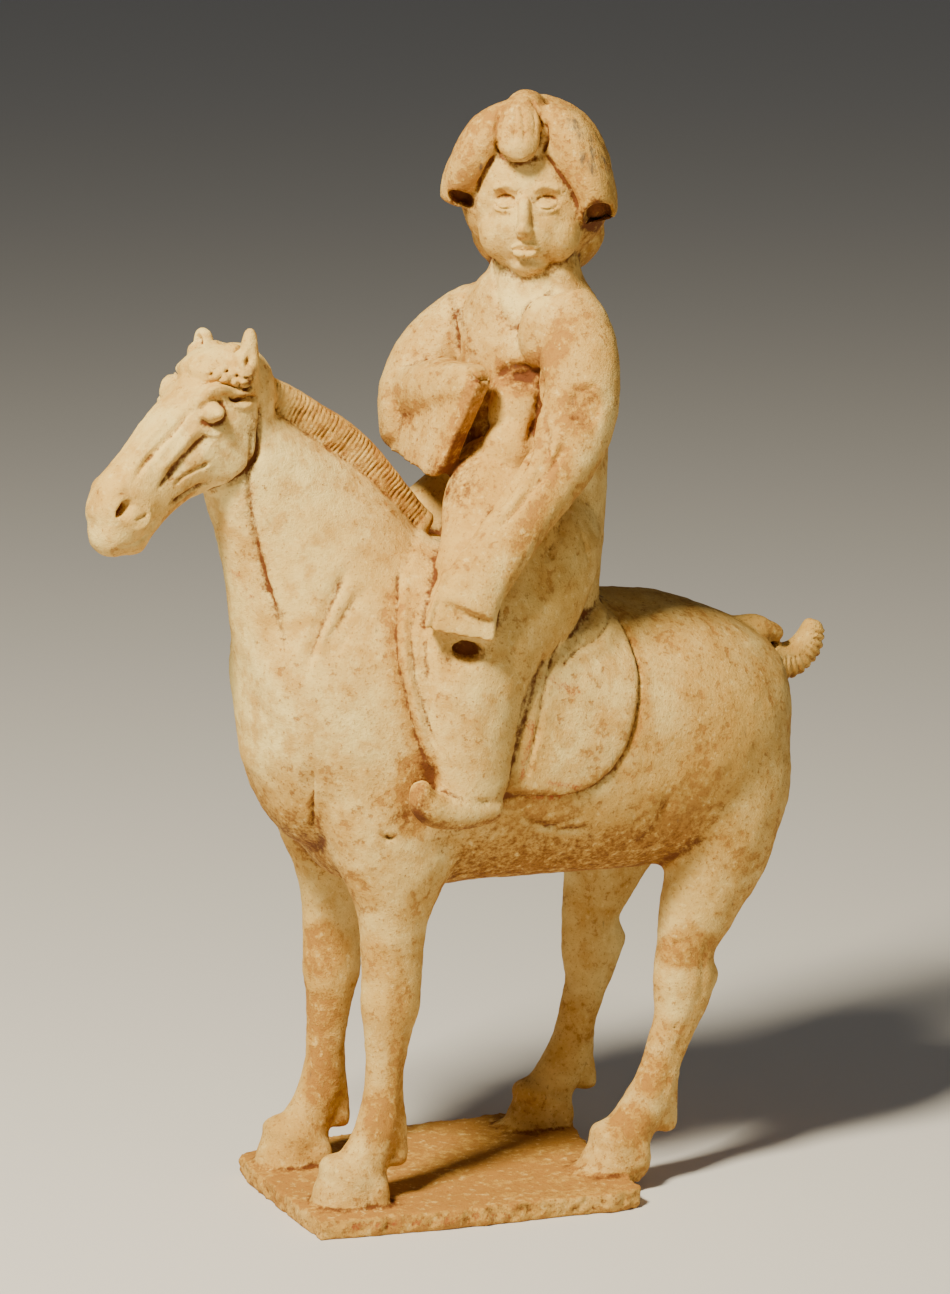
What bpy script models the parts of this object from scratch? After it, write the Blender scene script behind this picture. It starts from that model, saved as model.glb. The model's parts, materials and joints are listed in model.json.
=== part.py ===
"""Pottery tomb figurine: a court lady on a standing horse, one fired piece with its thin slab.

Metres, +Z up. The horse faces -Y, its left side is +X, and the origin is under the middle of the slab.
The forms are drawn in units of 1/540 of the figure's height, which are millimetres at the size built,
with heights measured from the top face of the slab.
"""

import math

import bmesh
import bpy
import numpy as np
from mathutils import Matrix, Vector
from mathutils.bvhtree import BVHTree

# Driving sizes, in metres
FIGURE_HEIGHT = 0.540
SLAB_LENGTH = 0.180
SLAB_WIDTH = 0.150
SLAB_THICKNESS = 0.010

# Drawing scale of the figure
UNITS_TALL = 540.0
UNIT = FIGURE_HEIGHT / UNITS_TALL

# Surface of the clay, in units
VOXEL = 2.2
SOFTENING = 5
BODY_SOFTENING = 40
FIGURE_TRIANGLES = 9500
HOOF_SINK = 0.35 * SLAB_THICKNESS / UNIT


# Shaping

def spline(rows, steps):
    """Catmull-Rom curve through rows of any width, with steps points for each span."""
    rows = np.array(rows, float)
    ends = np.vstack([2 * rows[0] - rows[1], rows, 2 * rows[-1] - rows[-2]])
    out = []
    for i in range(1, len(ends) - 2):
        a, b, c, d = ends[i - 1 : i + 3]
        for t in np.arange(steps) / steps:
            bend = (2 * a - 5 * b + 4 * c - d) * t * t + (3 * b - a - 3 * c + d) * t**3
            out.append(0.5 * (2 * b + (c - a) * t + bend))
    out.append(rows[-1])
    return np.array(out)


def tube(clay, rows, side=(1, 0, 0), steps=6, sides=40, power=2.0, dome=0.7):
    """A limb of clay: each row is x, y, z, half width along side, half depth across it. Its ends are domed."""
    path = spline(rows, steps)
    tangent = np.gradient(path[:, :3], axis=0)
    tangent /= np.linalg.norm(tangent, axis=1)[:, None]
    side = np.array(side, float)
    angle = np.arange(sides) * 2 * math.pi / sides
    c, s = np.cos(angle), np.sin(angle)
    ring_x = np.sign(c) * np.abs(c) ** (2 / power)
    ring_y = np.sign(s) * np.abs(s) ** (2 / power)
    stations = [(row[:3], row[3], row[4], t) for row, t in zip(path, tangent)]
    caps = []
    for end, way in ((0, -1), (-1, 1)):
        centre, wide, deep, t = stations[end]
        reach = way * min(wide, deep) * dome
        bends = [math.radians(f) for f in (25, 50, 72)]
        caps.append([(centre + t * reach * math.sin(f), wide * math.cos(f), deep * math.cos(f), t) for f in bends])
    rings = []
    for centre, wide, deep, t in caps[0][::-1] + stations + caps[1]:
        across = side - t * side.dot(t)
        across /= np.linalg.norm(across)
        up = np.cross(across, t)
        ring = centre + np.outer(ring_x * wide, across) + np.outer(ring_y * deep, up)
        rings.append([clay.verts.new(p) for p in ring])
    for low, high in zip(rings, rings[1:]):
        for i in range(sides):
            j = (i + 1) % sides
            clay.faces.new((low[i], low[j], high[j], high[i]))
    clay.faces.new(rings[0][::-1])
    clay.faces.new(rings[-1])


def ball(clay, centre, radii, turn=0.0, tip=0.0):
    """An ellipsoid of clay, tipped about X and then turned about Z, in degrees."""
    place = (
        Matrix.Translation(centre)
        @ Matrix.Rotation(math.radians(turn), 4, "Z")
        @ Matrix.Rotation(math.radians(tip), 4, "X")
        @ Matrix.Diagonal((*radii, 1))
    )
    bmesh.ops.create_uvsphere(clay, u_segments=32, v_segments=20, radius=1.0, matrix=place)


def wedge(clay, corners):
    """A block of clay with flat faces through these corners."""
    verts = [clay.verts.new(p) for p in corners]
    made = bmesh.ops.convex_hull(clay, input=verts)
    spare = [e for e in made["geom_interior"] + made["geom_unused"] if isinstance(e, bmesh.types.BMVert)]
    bmesh.ops.delete(clay, geom=spare, context="VERTS")


class Frame:
    """A place that the forms are drawn from: an origin, and how far it is turned from -Y towards +X."""

    def __init__(self, origin=(0, 0, 0), turn=0.0):
        self.origin = Vector(origin)
        self.turn = turn

    def rows(self, rows):
        """Rows drawn with x to the left, y backward and z up, placed in the figure."""
        spin = Matrix.Rotation(math.radians(self.turn), 3, "Z")
        return [(*(self.origin + spin @ Vector(r[:3])), *r[3:]) for r in rows]

    def at(self, x, y, z):
        return Vector(self.rows([(x, y, z)])[0])

    def left(self):
        return Matrix.Rotation(math.radians(self.turn), 3, "Z") @ Vector((1, 0, 0))


WHOLE = Frame()
HORSE_HEAD = Frame((0, -98, 0), 12.0)
TORSO = Frame((5, 50, 0), 28.0)
LADY_HEAD = Frame((8, 49, 484), 58.0)


# The horse: x, y, z, half width, half depth

TRUNK = (
    (0, -100, 236, 9, 13),
    (0, -97, 236, 22, 31),
    (0, -88, 238, 40, 52),
    (0, -70, 241, 52, 71),
    (0, -48, 240, 59, 84),
    (0, -20, 237, 64, 88),
    (0, 15, 231, 67, 84),
    (0, 50, 224, 69, 76),
    (0, 85, 219, 70, 71),
    (0, 115, 218, 69, 69),
    (0, 138, 216, 65, 62),
    (0, 158, 212, 56, 54),
    (0, 172, 208, 43, 44),
    (0, 181, 206, 25, 28),
    (0, 184, 205, 10, 12),
)
BREAST = (0, -65, 250)
BREAST_SIZE = (49, 37.5, 78)
NECK = (
    (0, -38, 252, 54, 62),
    (0, -52, 291, 45, 56),
    (0, -67, 322, 34, 47.5),
    (0, -85, 349, 26, 35.5),
    (0, -101, 373, 21, 26),
    (0, -110, 390, 17, 20),
)
MANE = (
    (0, -102, 404, 6, 6),
    (0, -94, 402, 6.5, 7),
    (0, -76, 392, 7, 7.5),
    (0, -56, 378.5, 7.5, 8),
    (0, -38.5, 363, 7.5, 8.5),
    (0, -25, 347, 8, 8.5),
    (0, -12, 330, 8, 9),
)

# The horse's head: backward from the pivot of its neck
SKULL = (
    (0, 2, 396, 18, 23),
    (0, -8, 396, 21, 28),
    (0, -18, 387, 23, 27.5),
    (0, -32, 377.5, 20.5, 25),
    (0, -47, 368, 15.5, 21.5),
    (0, -58.5, 358.5, 14, 19.5),
    (0, -68.5, 350, 15.5, 19),
    (0, -76.5, 342.5, 15, 17),
)
JOWL = (10, -15, 376)
JOWL_SIZE = (12, 21, 22)
EYE = (20.5, -32, 394)
EYE_SIZE = (5.5, 6.5, 6)
BROW = (16, -30, 403)
BROW_SIZE = (6, 11, 4.5)
CHIN = (0, -67, 334)
CHIN_SIZE = (11, 9.5, 8)
FORELOCK = (0, -9, 413)
FORELOCK_SIZE = (13, 10, 10)
EAR = (
    (15.5, -12, 402, 7, 6),
    (17.5, -11, 411, 7, 5.5),
    (19, -10.5, 420, 6, 4.8),
    (19.5, -10.5, 427, 4.6, 4),
    (19.5, -10, 432, 3, 2.8),
)
FAR_EAR = ((-15.5, -13, 404, 7, 6), (-17.5, -12.5, 412, 7, 5.5), (-19, -12, 420, 6.5, 5), (-19.5, -12, 427, 5, 4))
TAIL = (
    (0, 163, 254, 11, 13),
    (0, 177, 248, 10, 11),
    (0, 189, 245, 9, 10),
    (0, 198, 247, 8, 9.3),
    (0, 205, 254, 7, 8.3),
    (0, 208, 262.5, 5.6, 6),
)

TAIL_FLAP = ((0, 167, 263, 9, 7.5), (2, 176, 264, 8, 6), (3, 186, 260, 6, 4.5))

# Legs, drawn about x = 0
FORELEG = (
    (-10, -44, 272, 20, 34),
    (-5, -42, 240, 24, 37),
    (-1, -39, 208, 23, 35),
    (0, -36, 172, 20.5, 31),
    (0, -36, 156, 18, 25),
    (0, -37, 140, 15, 18.5),
    (0, -37.5, 124, 13.5, 16.4),
    (0, -38, 108, 13, 15.4),
    (0, -39, 96, 13, 15),
    (0, -40, 84, 11, 12.4),
    (0, -41.5, 68, 9.5, 10.2),
    (0, -43, 52, 9.5, 10),
    (0, -44.5, 39, 10.5, 11.8),
    (0, -49, 28, 10.5, 11.2),
    (0, -54, 18, 12, 13),
    (0, -60, 5, 16, 18.5),
    (0, -61, -HOOF_SINK, 17, 19.5),
)
HINDLEG = (
    (-12, 132, 250, 16, 32),
    (-6, 137, 225, 25, 38),
    (-1, 140, 192, 27, 38.5),
    (0, 140.5, 163, 23, 28),
    (0, 136, 149, 19.5, 25.5),
    (0, 130.5, 137, 17, 22.5),
    (0, 126, 125, 15, 20),
    (0, 122, 113, 13, 16.4),
    (0, 120.5, 105, 12.5, 15.4),
    (0, 121, 96, 12.5, 17),
    (0, 120, 88, 12, 16),
    (0, 118, 78, 10.5, 13.5),
    (0, 115, 69, 10, 11.2),
    (0, 111, 59, 9.5, 10.6),
    (0, 107, 47, 9.5, 10.6),
    (0, 103, 37, 10.5, 12),
    (0, 96, 26, 11, 12),
    (0, 89, 16, 12, 13.5),
    (0, 82.5, 4, 15.5, 16),
    (0, 81, -HOOF_SINK, 17, 17.5),
)
FORE_TUFT = ((0, -37, 64, 4, 4), (0, -36.5, 46, 5, 5), (0, -36, 32, 5.5, 6), (0, -35.5, 22, 6, 6), (0, -35.5, 16, 5.5, 5.5))
HIND_TUFT = ((0, 117, 62, 4, 4), (0, 112.5, 46, 5, 5.5), (0, 111, 32, 5.5, 6), (0, 111, 22, 6, 6), (0, 111, 17, 5.5, 5.5))
HOCK = (0, 132.5, 95)
HOCK_SIZE = (7, 7.5, 8.5)
# Each foot's collar, its two heels and the clay smeared about it: place, size and tip
FORE_FOOT = (
    ((0, -58.5, 13), (15.5, 18.5, 9.5), -20),
    ((9, -50.5, 4), (8, 8, 10.5), 0),
    ((-9, -50.5, 4), (8, 8, 10.5), 0),
    ((0, -64, -2.5), (18.5, 18, 6), 0),
)
HIND_FOOT = (
    ((0, 85.5, 13.5), (15, 16.5, 9.5), -24),
    ((8, 91.5, 6), (8, 8, 11), 0),
    ((-8, 91.5, 6), (8, 8, 11), 0),
    ((0, 73, -2.5), (17.5, 15.5, 6), 0),
)

# Where each leg stands: x, y and how far it leans for each unit of height
FORELEGS_AT = ((35, 0, 0), (-41, -1, 0))
HINDLEGS_AT = ((34, 0, 0), (-54, -3, -0.09))


# The rider

BODY = (
    (0, -10, 262, 40, 36),
    (0, -10, 298, 40, 37),
    (0, -6, 322, 40, 37),
    (0, -2, 345, 39, 36),
    (0, 1, 380, 39, 34),
    (0, 1, 410, 41, 32),
    (0, 1, 428, 40, 27),
    (1, 0, 440, 34, 23.5),
    (2, -1, 449, 26, 20),
    (3, -2, 460, 22, 18),
)
ROBE_LEG = (
    (14, 42, 356, 22, 34),
    (29, 34, 337, 24, 42),
    (40, 27, 318, 25, 42),
    (49, 15, 297, 24, 39),
    (55, 4, 284, 22, 33),
    (58, -1, 271, 20, 29),
    (61, -5, 254, 18, 25),
    (63, -7, 236, 16, 22),
    (64, -8, 218, 15, 19.5),
    (65, -9, 206, 14, 17),
)
FAR_HIP = (
    (18, 40, 344, 20, 28),
    (29, 32, 326, 24, 34),
    (39, 22, 308, 25, 37),
    (48, 12, 292, 23, 36),
)
SHOE = (
    (68, 0, 200, 9, 8),
    (70, -13, 200, 10, 9),
    (72, -27, 201, 9.5, 9),
    (74, -36, 206, 8, 8),
    (75, -39, 214, 5, 5),
)
LEFT_ARM = (
    (36, 54, 440, 13, 13),
    (42, 55, 428, 18, 17),
    (50, 55, 410, 19.5, 18),
    (56, 52, 388, 19, 17),
    (61, 42, 368, 17, 15),
    (66, 25, 349, 15, 13),
    (71, 7, 330, 14.5, 11),
    (76, -10, 312, 15, 10),
    (78, -17, 300, 15.5, 9),
)
RIGHT_ARM = (
    (-22, 38, 433, 12, 12),
    (-29, 28, 424, 16, 16),
    (-33, 14, 409, 18, 18),
    (-33, 3, 393, 16, 18),
    (-28, -3, 380, 13, 17),
    (-25, -7, 368, 10, 13),
)
# Her head: the skull with its face ahead, hair over the crown and behind; cheeks, chin, lids and lips
HEAD_BALLS = (
    ((25.5, 27, 29), (0, -4, -6)),
    ((38, 34, 43), (0, 6, 10)),
    ((33, 22, 24), (0, 14, -14)),
    ((12, 11, 14), (13, -15, -12)),
    ((9, 7, 6), (0, -18, -27)),
    ((5.5, 3, 2.6), (10.5, -25.5, 0.5)),
    ((6.5, 2.8, 2.6), (0, -28, -20)),
)
NOSE = ((0, -29, 5, 2.5, 2.5), (0, -31.5, -5, 3, 3), (0, -32.5, -11, 4, 3.5))
HAIR_ROLL = (
    (8, -10, 42, 10, 13),
    (18, -14, 35, 12.5, 14),
    (26, -14, 22, 12, 15),
    (31.5, -12, 9, 10.5, 16),
    (33, -9, -2, 9.5, 14),
)
FAR_ROLL = (
    (-8, -10, 42, 10, 13),
    (-18, -14, 35, 12, 14),
    (-27, -14, 23, 11.5, 14),
    (-34, -11, 12, 9.5, 12),
    (-37, -9, 5, 7.5, 9),
)
TOP_LOCK = (
    (-2, 2, 47, 8.5, 7),
    (-2.5, -12, 49, 9.5, 7.5),
    (-3, -24, 43, 10.5, 7.5),
    (-3, -31, 33, 10.3, 7),
    (-3, -32, 27, 8.5, 5.5),
)
CUFF = ((77, -38, 292), (90, -7, 285), (83, -1, 312), (75, -27, 318))
FOREARM_SLAB = (
    (-33, 2, 402), (-34, -6, 380), (-26, -11, 363), (20, -8, 355), (26, -4, 359), (42, 9, 404), (36, 8, 410),
    (0, 2, 410),
)
FOREARM = ((-26, -6, 389, 12, 9), (-4, -4, 394, 13, 8), (18, 1, 398, 12, 7), (34, 5, 401, 9, 6))


# Marks on the horse as seen from its side: backward and up

CLOTH = (
    (30, 345), (0, 345), (-6, 334), (-23, 321), (-37, 301), (-42, 278), (-39, 255), (-33, 235), (-27, 219),
    (-10, 208), (20, 205), (38, 202.5), (53, 206), (64, 214.5), (73, 229), (79, 246), (81.5, 268), (76, 286), (58, 300),
)
CANTLE = ((55, 299), (68, 290), (72, 280), (65, 272), (48, 270))
HORSE_CUTS = (
    (((-109, 352), (-101, 322), (-93, 290), (-91, 276)), 3.5, 1.4),
    (((-60, 318), (-74, 296), (-86, 268)), 5, 1.8),
    (((-51, 309), (-66, 290), (-77, 270)), 4.5, 1.6),
    (((-84, 224), (-80, 205), (-72, 184)), 3.5, 1.4),
    (((18, 193), (40, 183), (58, 183)), 4, 1.4),
    (((84, 168), (92, 180), (96, 196)), 6, 1.6),
    (((131, 122), (126, 106), (126, 92), (121, 78), (114, 60), (107, 42), (103, 28)), 3.2, 1.2),
    (((-32, 96), (-33, 74), (-36, 54), (-38, 40), (-42, 27)), 3.0, 1.0),
)
# Bumps and hollows: frame, side, place, half width and half height, depth, edge, turn, tilt
HOLLOWS = (
    (LADY_HEAD, 9, (30, -4), (8.5, 9), 12, 0.45, 0, -35),
    (LADY_HEAD, 9, (-35, 3), (7.5, 6.5), 8, 0.5, 30, -35),
    (TORSO, 60, (-61, 278), (8, 5.5), 9, 0.35, 0, -15),
)
HORSE_HOLLOWS = (
    (HORSE_HEAD, 90, (-78, 351), (3, 5.8), 6, 0.5, -35, 0),
    (HORSE_HEAD, -90, (78, 351), (3, 5.8), 6, 0.5, 35, 0),
    (HORSE_HEAD, 90, (-32, 394.5), (6.2, 5.8), -3.6, 0.9, 0, 0),
    (HORSE_HEAD, -90, (32, 394.5), (6.2, 5.8), -3.6, 0.9, 0, 0),
    (HORSE_HEAD, 90, (-80, 361), (5, 4), -1.6, 1.0, 0, 0),
    (HORSE_HEAD, -90, (80, 361), (5, 4), -1.6, 1.0, 0, 0),
    (WHOLE, 90, (180, 254), (6.5, 2.8), 6, 0.5, 15, 0),
)
# The horse's forelock, flopped forward, seen from its left front
TUFT = (
    (-27, 414), (-24, 418), (-16, 421), (-11, 423), (-4, 423), (1, 419), (5, 412), (2, 406), (-5, 405.5),
    (-13, 408), (-19, 410), (-25, 411),
)
HORSE_HEAD_CUTS = (
    (((-31, 386), (-43, 374), (-56, 360)), 3.5, 2.0),
    (((-37, 399), (-54, 383), (-68, 368)), 3, 1.0),
    (((-77, 345), (-77, 350), (-73, 355)), 4, 3.5),
    (((-56, 346), (-62, 342), (-68, 337)), 3, 1.8),
    (((-3, 402), (-5, 386), (-7, 372), (-12, 365), (-19, 358), (-26, 354)), 4, 2.2),
)


# Cuts in her robe: the side they are seen from, across and up, then width and depth
ROBE_CUTS = (
    (0, ((-36, 436), (-33, 421), (-27, 408)), 3, 1.4),
    (0, ((-11, 454), (-7, 444), (0, 432), (8, 427), (17, 437), (27, 450)), 3, 1.2),
    (0, ((0, 408), (12, 404), (26, 398)), 3.5, 1.4),
    (40, ((3, 412), (3, 399), (1, 384), (-5, 368), (-14, 353), (-30, 336)), 5, 2.2),
    (75, ((2, 372), (-6, 350), (-22, 330), (-36, 316)), 4.5, 1.6),
    (100, ((34, 362), (28, 336), (24, 310), (12, 288)), 4.5, 1.6),
)


def at_side(rows, x, y, lean):
    """Rows mirrored to the side of x and moved there, leaning back or forward up to the hock."""
    way = 1 if x > 0 else -1
    return [(x + way * r[0], r[1] + y + lean * min(max(r[2], 0), 110), *r[2:]) for r in rows]


def mirrored(rows):
    return [(-r[0], *r[1:]) for r in rows]


def add_horse_body(clay):
    tube(clay, TRUNK, power=2.15, dome=0.15)
    ball(clay, BREAST, BREAST_SIZE)
    tube(clay, NECK)
    for place in FORELEGS_AT:
        tube(clay, at_side(FORELEG, *place), dome=0.1)
    for place in HINDLEGS_AT:
        tube(clay, at_side(HINDLEG, *place), dome=0.1)
        ball(clay, at_side([HOCK], *place)[0], HOCK_SIZE)


def add_horse_details(clay):
    tube(clay, MANE, power=2.6)
    tube(clay, HORSE_HEAD.rows(SKULL), side=HORSE_HEAD.left(), power=2.3, dome=0.5)
    for s, ear in ((1, EAR), (-1, FAR_EAR)):
        for (x, y, z), size, tip in ((JOWL, JOWL_SIZE, 0), (EYE, EYE_SIZE, 0), (BROW, BROW_SIZE, 25)):
            ball(clay, HORSE_HEAD.at(x * s, y, z), size, turn=HORSE_HEAD.turn, tip=tip)
        tube(clay, HORSE_HEAD.rows(ear), side=HORSE_HEAD.left(), sides=20)
    ball(clay, HORSE_HEAD.at(*CHIN), CHIN_SIZE, turn=HORSE_HEAD.turn, tip=10)
    ball(clay, HORSE_HEAD.at(*FORELOCK), FORELOCK_SIZE, turn=HORSE_HEAD.turn)
    for lump in (TAIL, TAIL_FLAP):
        tube(clay, lump, sides=24)
    for places, tuft, foot in ((FORELEGS_AT, FORE_TUFT, FORE_FOOT), (HINDLEGS_AT, HIND_TUFT, HIND_FOOT)):
        for place in places:
            tube(clay, at_side(tuft, *place), sides=16, dome=0.2)
            for at, size, tip in foot:
                ball(clay, at_side([at], *place)[0], size, tip=tip)


def add_lady(clay):
    tube(clay, TORSO.rows(BODY), side=TORSO.left(), sides=48)
    tube(clay, ROBE_LEG, dome=0.25)
    tube(clay, mirrored(FAR_HIP + ROBE_LEG[4:]), dome=0.25)
    tube(clay, SHOE, sides=24)
    tube(clay, mirrored(SHOE), sides=24)
    view_side = (0.39, 0.92, 0)
    tube(clay, LEFT_ARM, side=view_side, power=2.2, dome=0.2)
    wedge(clay, [(x - 0.92 * d, y + 0.40 * d, z) for d in (0, 14) for x, y, z in CUFF])
    tube(clay, RIGHT_ARM, side=TORSO.left())
    tube(clay, FOREARM, side=(0, 0, 1))
    ahead = Vector((0.469, -0.883, 0))
    wedge(clay, [Vector(p) + ahead * d for d in (-5, 5) for p in FOREARM_SLAB])
    add_lady_head(clay)


def add_lady_head(clay):
    head = LADY_HEAD
    for size, at in HEAD_BALLS:
        ball(clay, head.at(*at), size, turn=head.turn)
        if at[0]:
            ball(clay, head.at(-at[0], *at[1:]), size, turn=head.turn)
    tube(clay, head.rows(NOSE), side=head.left(), sides=16)
    for roll in (HAIR_ROLL, FAR_ROLL):
        tube(clay, head.rows(roll), side=head.left(), dome=0.3)
    tube(clay, head.rows(TOP_LOCK), side=head.left(), sides=32)


# Marks pressed into the clay or raised on it

def fade(x):
    x = np.clip(x, 0, 1)
    return x * x * (3 - 2 * x)


class Skin:
    """The points of a skin, its normals, and a tree to draw on it."""

    def __init__(self, mesh):
        self.mesh = mesh
        self.points = np.empty(len(mesh.vertices) * 3)
        mesh.vertices.foreach_get("co", self.points)
        self.points = self.points.reshape(-1, 3)
        self.refresh()

    def refresh(self):
        """Put the moved points back and take the normals again."""
        self.mesh.vertices.foreach_set("co", self.points.ravel())
        self.mesh.update()
        self.normals = np.empty(len(self.mesh.vertices) * 3)
        self.mesh.vertex_normals.foreach_get("vector", self.normals)
        self.normals = self.normals.reshape(-1, 3)
        work = bmesh.new()
        work.from_mesh(self.mesh)
        self.tree = BVHTree.FromBMesh(work)
        work.free()

    def drawn(self, frame, view, path):
        """A path of (across, up) points as seen from this side of the frame, laid on the skin."""
        angle = math.radians(frame.turn + view)
        right = Vector((math.cos(angle), math.sin(angle), 0))
        out = Vector((math.sin(angle), -math.cos(angle), 0))
        laid = []
        for across, up in path:
            start = frame.origin + right * across + Vector((0, 0, up)) + out * 400
            hit = self.tree.ray_cast(start, -out)[0]
            if hit is not None:
                laid.append(hit)
        return np.array(laid), np.array(out)

    def press(self, frame, view, path, width, depth, ends=0.25):
        """A groove along a path, or a ridge where depth is below zero. It fades out toward its ends."""
        line, out = self.drawn(frame, view, spline(path, 8))
        if len(line) < 2:
            return
        low, high = line.min(0) - width, line.max(0) + width
        near = np.all((self.points > low) & (self.points < high), axis=1) & (self.normals @ out > -0.3)
        near = np.flatnonzero(near)
        best = np.full(len(near), 1e9)
        place = np.zeros(len(near))
        for i in range(len(line) - 1):
            a, step = line[i], line[i + 1] - line[i]
            t = np.clip((self.points[near] - a) @ step / max(step @ step, 1e-9), 0, 1)
            gap = np.linalg.norm(self.points[near] - a - t[:, None] * step, axis=1)
            closer = gap < best
            best[closer] = gap[closer]
            place[closer] = (i + t[closer]) / (len(line) - 1)
        strength = fade(1 - best / width)
        if ends > 0:
            strength = strength * fade(np.minimum(place, 1 - place) / ends + 0.15)
        self.points[near] -= self.normals[near] * (depth * strength)[:, None]

    def inside(self, frame, view, outline, edge):
        """How far each point lies inside an outline seen from this side: 0 outside, 1 inside its edge."""
        loop = spline(list(outline) + [outline[0]], 6)[:-1]
        angle = math.radians(frame.turn + view)
        right = np.array((math.cos(angle), math.sin(angle), 0))
        out = np.array((math.sin(angle), -math.cos(angle), 0))
        rel = self.points - np.array(frame.origin)
        flat = np.stack([rel @ right, rel[:, 2]], 1)
        seen = (self.normals @ out > 0.15) & (rel @ out > 0)
        near = np.flatnonzero(seen & np.all((flat > loop.min(0) - edge) & (flat < loop.max(0) + edge), axis=1))
        p = flat[near]
        within = np.zeros(len(near), bool)
        best = np.full(len(near), 1e9)
        for a, b in zip(loop, np.roll(loop, -1, axis=0)):
            step = b - a
            t = np.clip((p - a) @ step / max(step @ step, 1e-9), 0, 1)
            best = np.minimum(best, np.linalg.norm(p - a - t[:, None] * step, axis=1))
            spans = (a[1] > p[:, 1]) != (b[1] > p[:, 1])
            cross = a[0] + (p[:, 1] - a[1]) / (step[1] if step[1] else 1e-9) * step[0]
            within ^= spans & (p[:, 0] < cross)
        signed = np.where(within, best, -best)
        strength = np.zeros(len(self.points))
        strength[near] = fade(signed / edge + 0.5) * fade((self.normals[near] @ out - 0.15) / 0.25)
        return strength

    def raise_patch(self, frame, view, outline, height, edge):
        """The part of the skin inside an outline, lifted by height with an edge this wide."""
        self.points += self.normals * (height * self.inside(frame, view, outline, edge))[:, None]

    def dent(self, frame, view, at, size, depth, edge=1.0, turn=0, tilt=0):
        """A hollow pushed straight in as seen from this side, or a bump where depth is below zero."""
        centre = self.drawn(frame, view, [at])[0]
        if not len(centre):
            return
        angle, rise, twist = (math.radians(f) for f in (frame.turn + view, tilt, turn))
        right = np.array((math.cos(angle), math.sin(angle), 0))
        out = np.array((math.sin(angle) * math.cos(rise), -math.cos(angle) * math.cos(rise), math.sin(rise)))
        up = np.cross(right, -out)
        rel = self.points - centre[0]
        u, v, w = rel @ right, rel @ up, rel @ out
        u, v = u * math.cos(twist) + v * math.sin(twist), v * math.cos(twist) - u * math.sin(twist)
        far = np.sqrt((u / size[0]) ** 2 + (v / size[1]) ** 2)
        seen = (far < 1) & (np.abs(w) < 1.2 * max(size)) & (self.normals @ out > -0.25)
        self.points[seen] -= out * (depth * fade((1 - far[seen]) / edge))[:, None]

    def raise_tuft(self, height, edge):
        """The horse's forelock, on both sides of its forehead."""
        near = self.inside(HORSE_HEAD, 55, TUFT, edge)
        far = self.inside(HORSE_HEAD, -55, [(-a, z) for a, z in TUFT], edge)
        self.points += self.normals * (height * np.maximum(near, far))[:, None]
        self.refresh()


# From clay to a closed skin

def skinned(add_lumps, base=None, body_softening=0, softening=SOFTENING):
    """New lumps of clay and the skin they go on as one closed skin, in units."""
    clay = bmesh.new()
    add_lumps(clay)
    bmesh.ops.recalc_face_normals(clay, faces=clay.faces)
    if base:
        clay.from_mesh(base)
    mesh = bpy.data.meshes.new("clay")
    clay.to_mesh(mesh)
    clay.free()
    remesh_only = evaluated(mesh, (("REMESH", {"mode": "VOXEL", "voxel_size": VOXEL}),))
    steps = [("SMOOTH", {"factor": 0.5, "iterations": softening})]
    if body_softening:
        steps.append(("SMOOTH", {"factor": 0.5, "iterations": body_softening, "vertex_group": "body"}))
    return evaluated(remesh_only, steps, body_weights)


def body_weights(body):
    """Weights of the horse's trunk and neck, which fade out down its legs."""
    group = body.vertex_groups.new(name="body")
    steps = 8
    heights = np.empty(len(body.data.vertices) * 3)
    body.data.vertices.foreach_get("co", heights)
    weights = np.round(fade((heights.reshape(-1, 3)[:, 2] - 95) / 60) * steps).astype(int)
    for level in range(1, steps + 1):
        group.add(np.flatnonzero(weights == level).tolist(), level / steps, "REPLACE")


def evaluated(mesh, modifiers, prepare=None):
    """A new mesh: this one with modifiers put on, each a type and its settings."""
    body = bpy.data.objects.new("work", mesh)
    bpy.context.scene.collection.objects.link(body)
    if prepare:
        prepare(body)
    for kind, settings in modifiers:
        modifier = body.modifiers.new(kind.lower(), kind)
        for name, value in settings.items():
            setattr(modifier, name, value)
    graph = bpy.context.evaluated_depsgraph_get()
    made = bpy.data.meshes.new_from_object(body.evaluated_get(graph))
    bpy.data.objects.remove(body)
    return made


def thinned(skin, triangles):
    """The skin with about this many triangles."""
    skin.calc_loop_triangles()
    return evaluated(skin, (("DECIMATE", {"ratio": triangles / len(skin.loop_triangles)}),))


def add_horse_marks(skin):
    """The saddle cloth and its cantle, and the larger cuts of the horse's head and body."""
    for view, way in ((90, 1), (-90, -1)):
        skin.raise_patch(WHOLE, view, [(way * y, z) for y, z in CLOTH], 2.4, 2.5)
    skin.refresh()
    for view, way in ((90, 1), (-90, -1)):
        skin.press(WHOLE, view, [(way * y, z) for y, z in CANTLE], 4.5, -1.2)
        for path, width, depth in HORSE_CUTS:
            skin.press(WHOLE, view, [(way * y, z) for y, z in path], width, depth)
        for path, width, depth in HORSE_HEAD_CUTS:
            skin.press(HORSE_HEAD, view, [(way * y, z) for y, z in path], width, depth)
    skin.raise_tuft(2.0, 2.5)
    for hollow in HORSE_HOLLOWS:
        skin.dent(*hollow)
    skin.refresh()


def add_lady_marks(skin):
    """The neckline, the seams and the long folds of her robe, and the sockets of her eyes."""
    for view, path, width, depth in ROBE_CUTS:
        skin.press(TORSO, view, path, width, depth)
    for way in (1, -1):
        skin.press(LADY_HEAD, 0, [(way * x, z) for x, z in ((4, 3), (9, 5), (15, 3))], 3, 0.8)
    for hollow in HOLLOWS:
        skin.dent(*hollow)
    skin.refresh()


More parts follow.
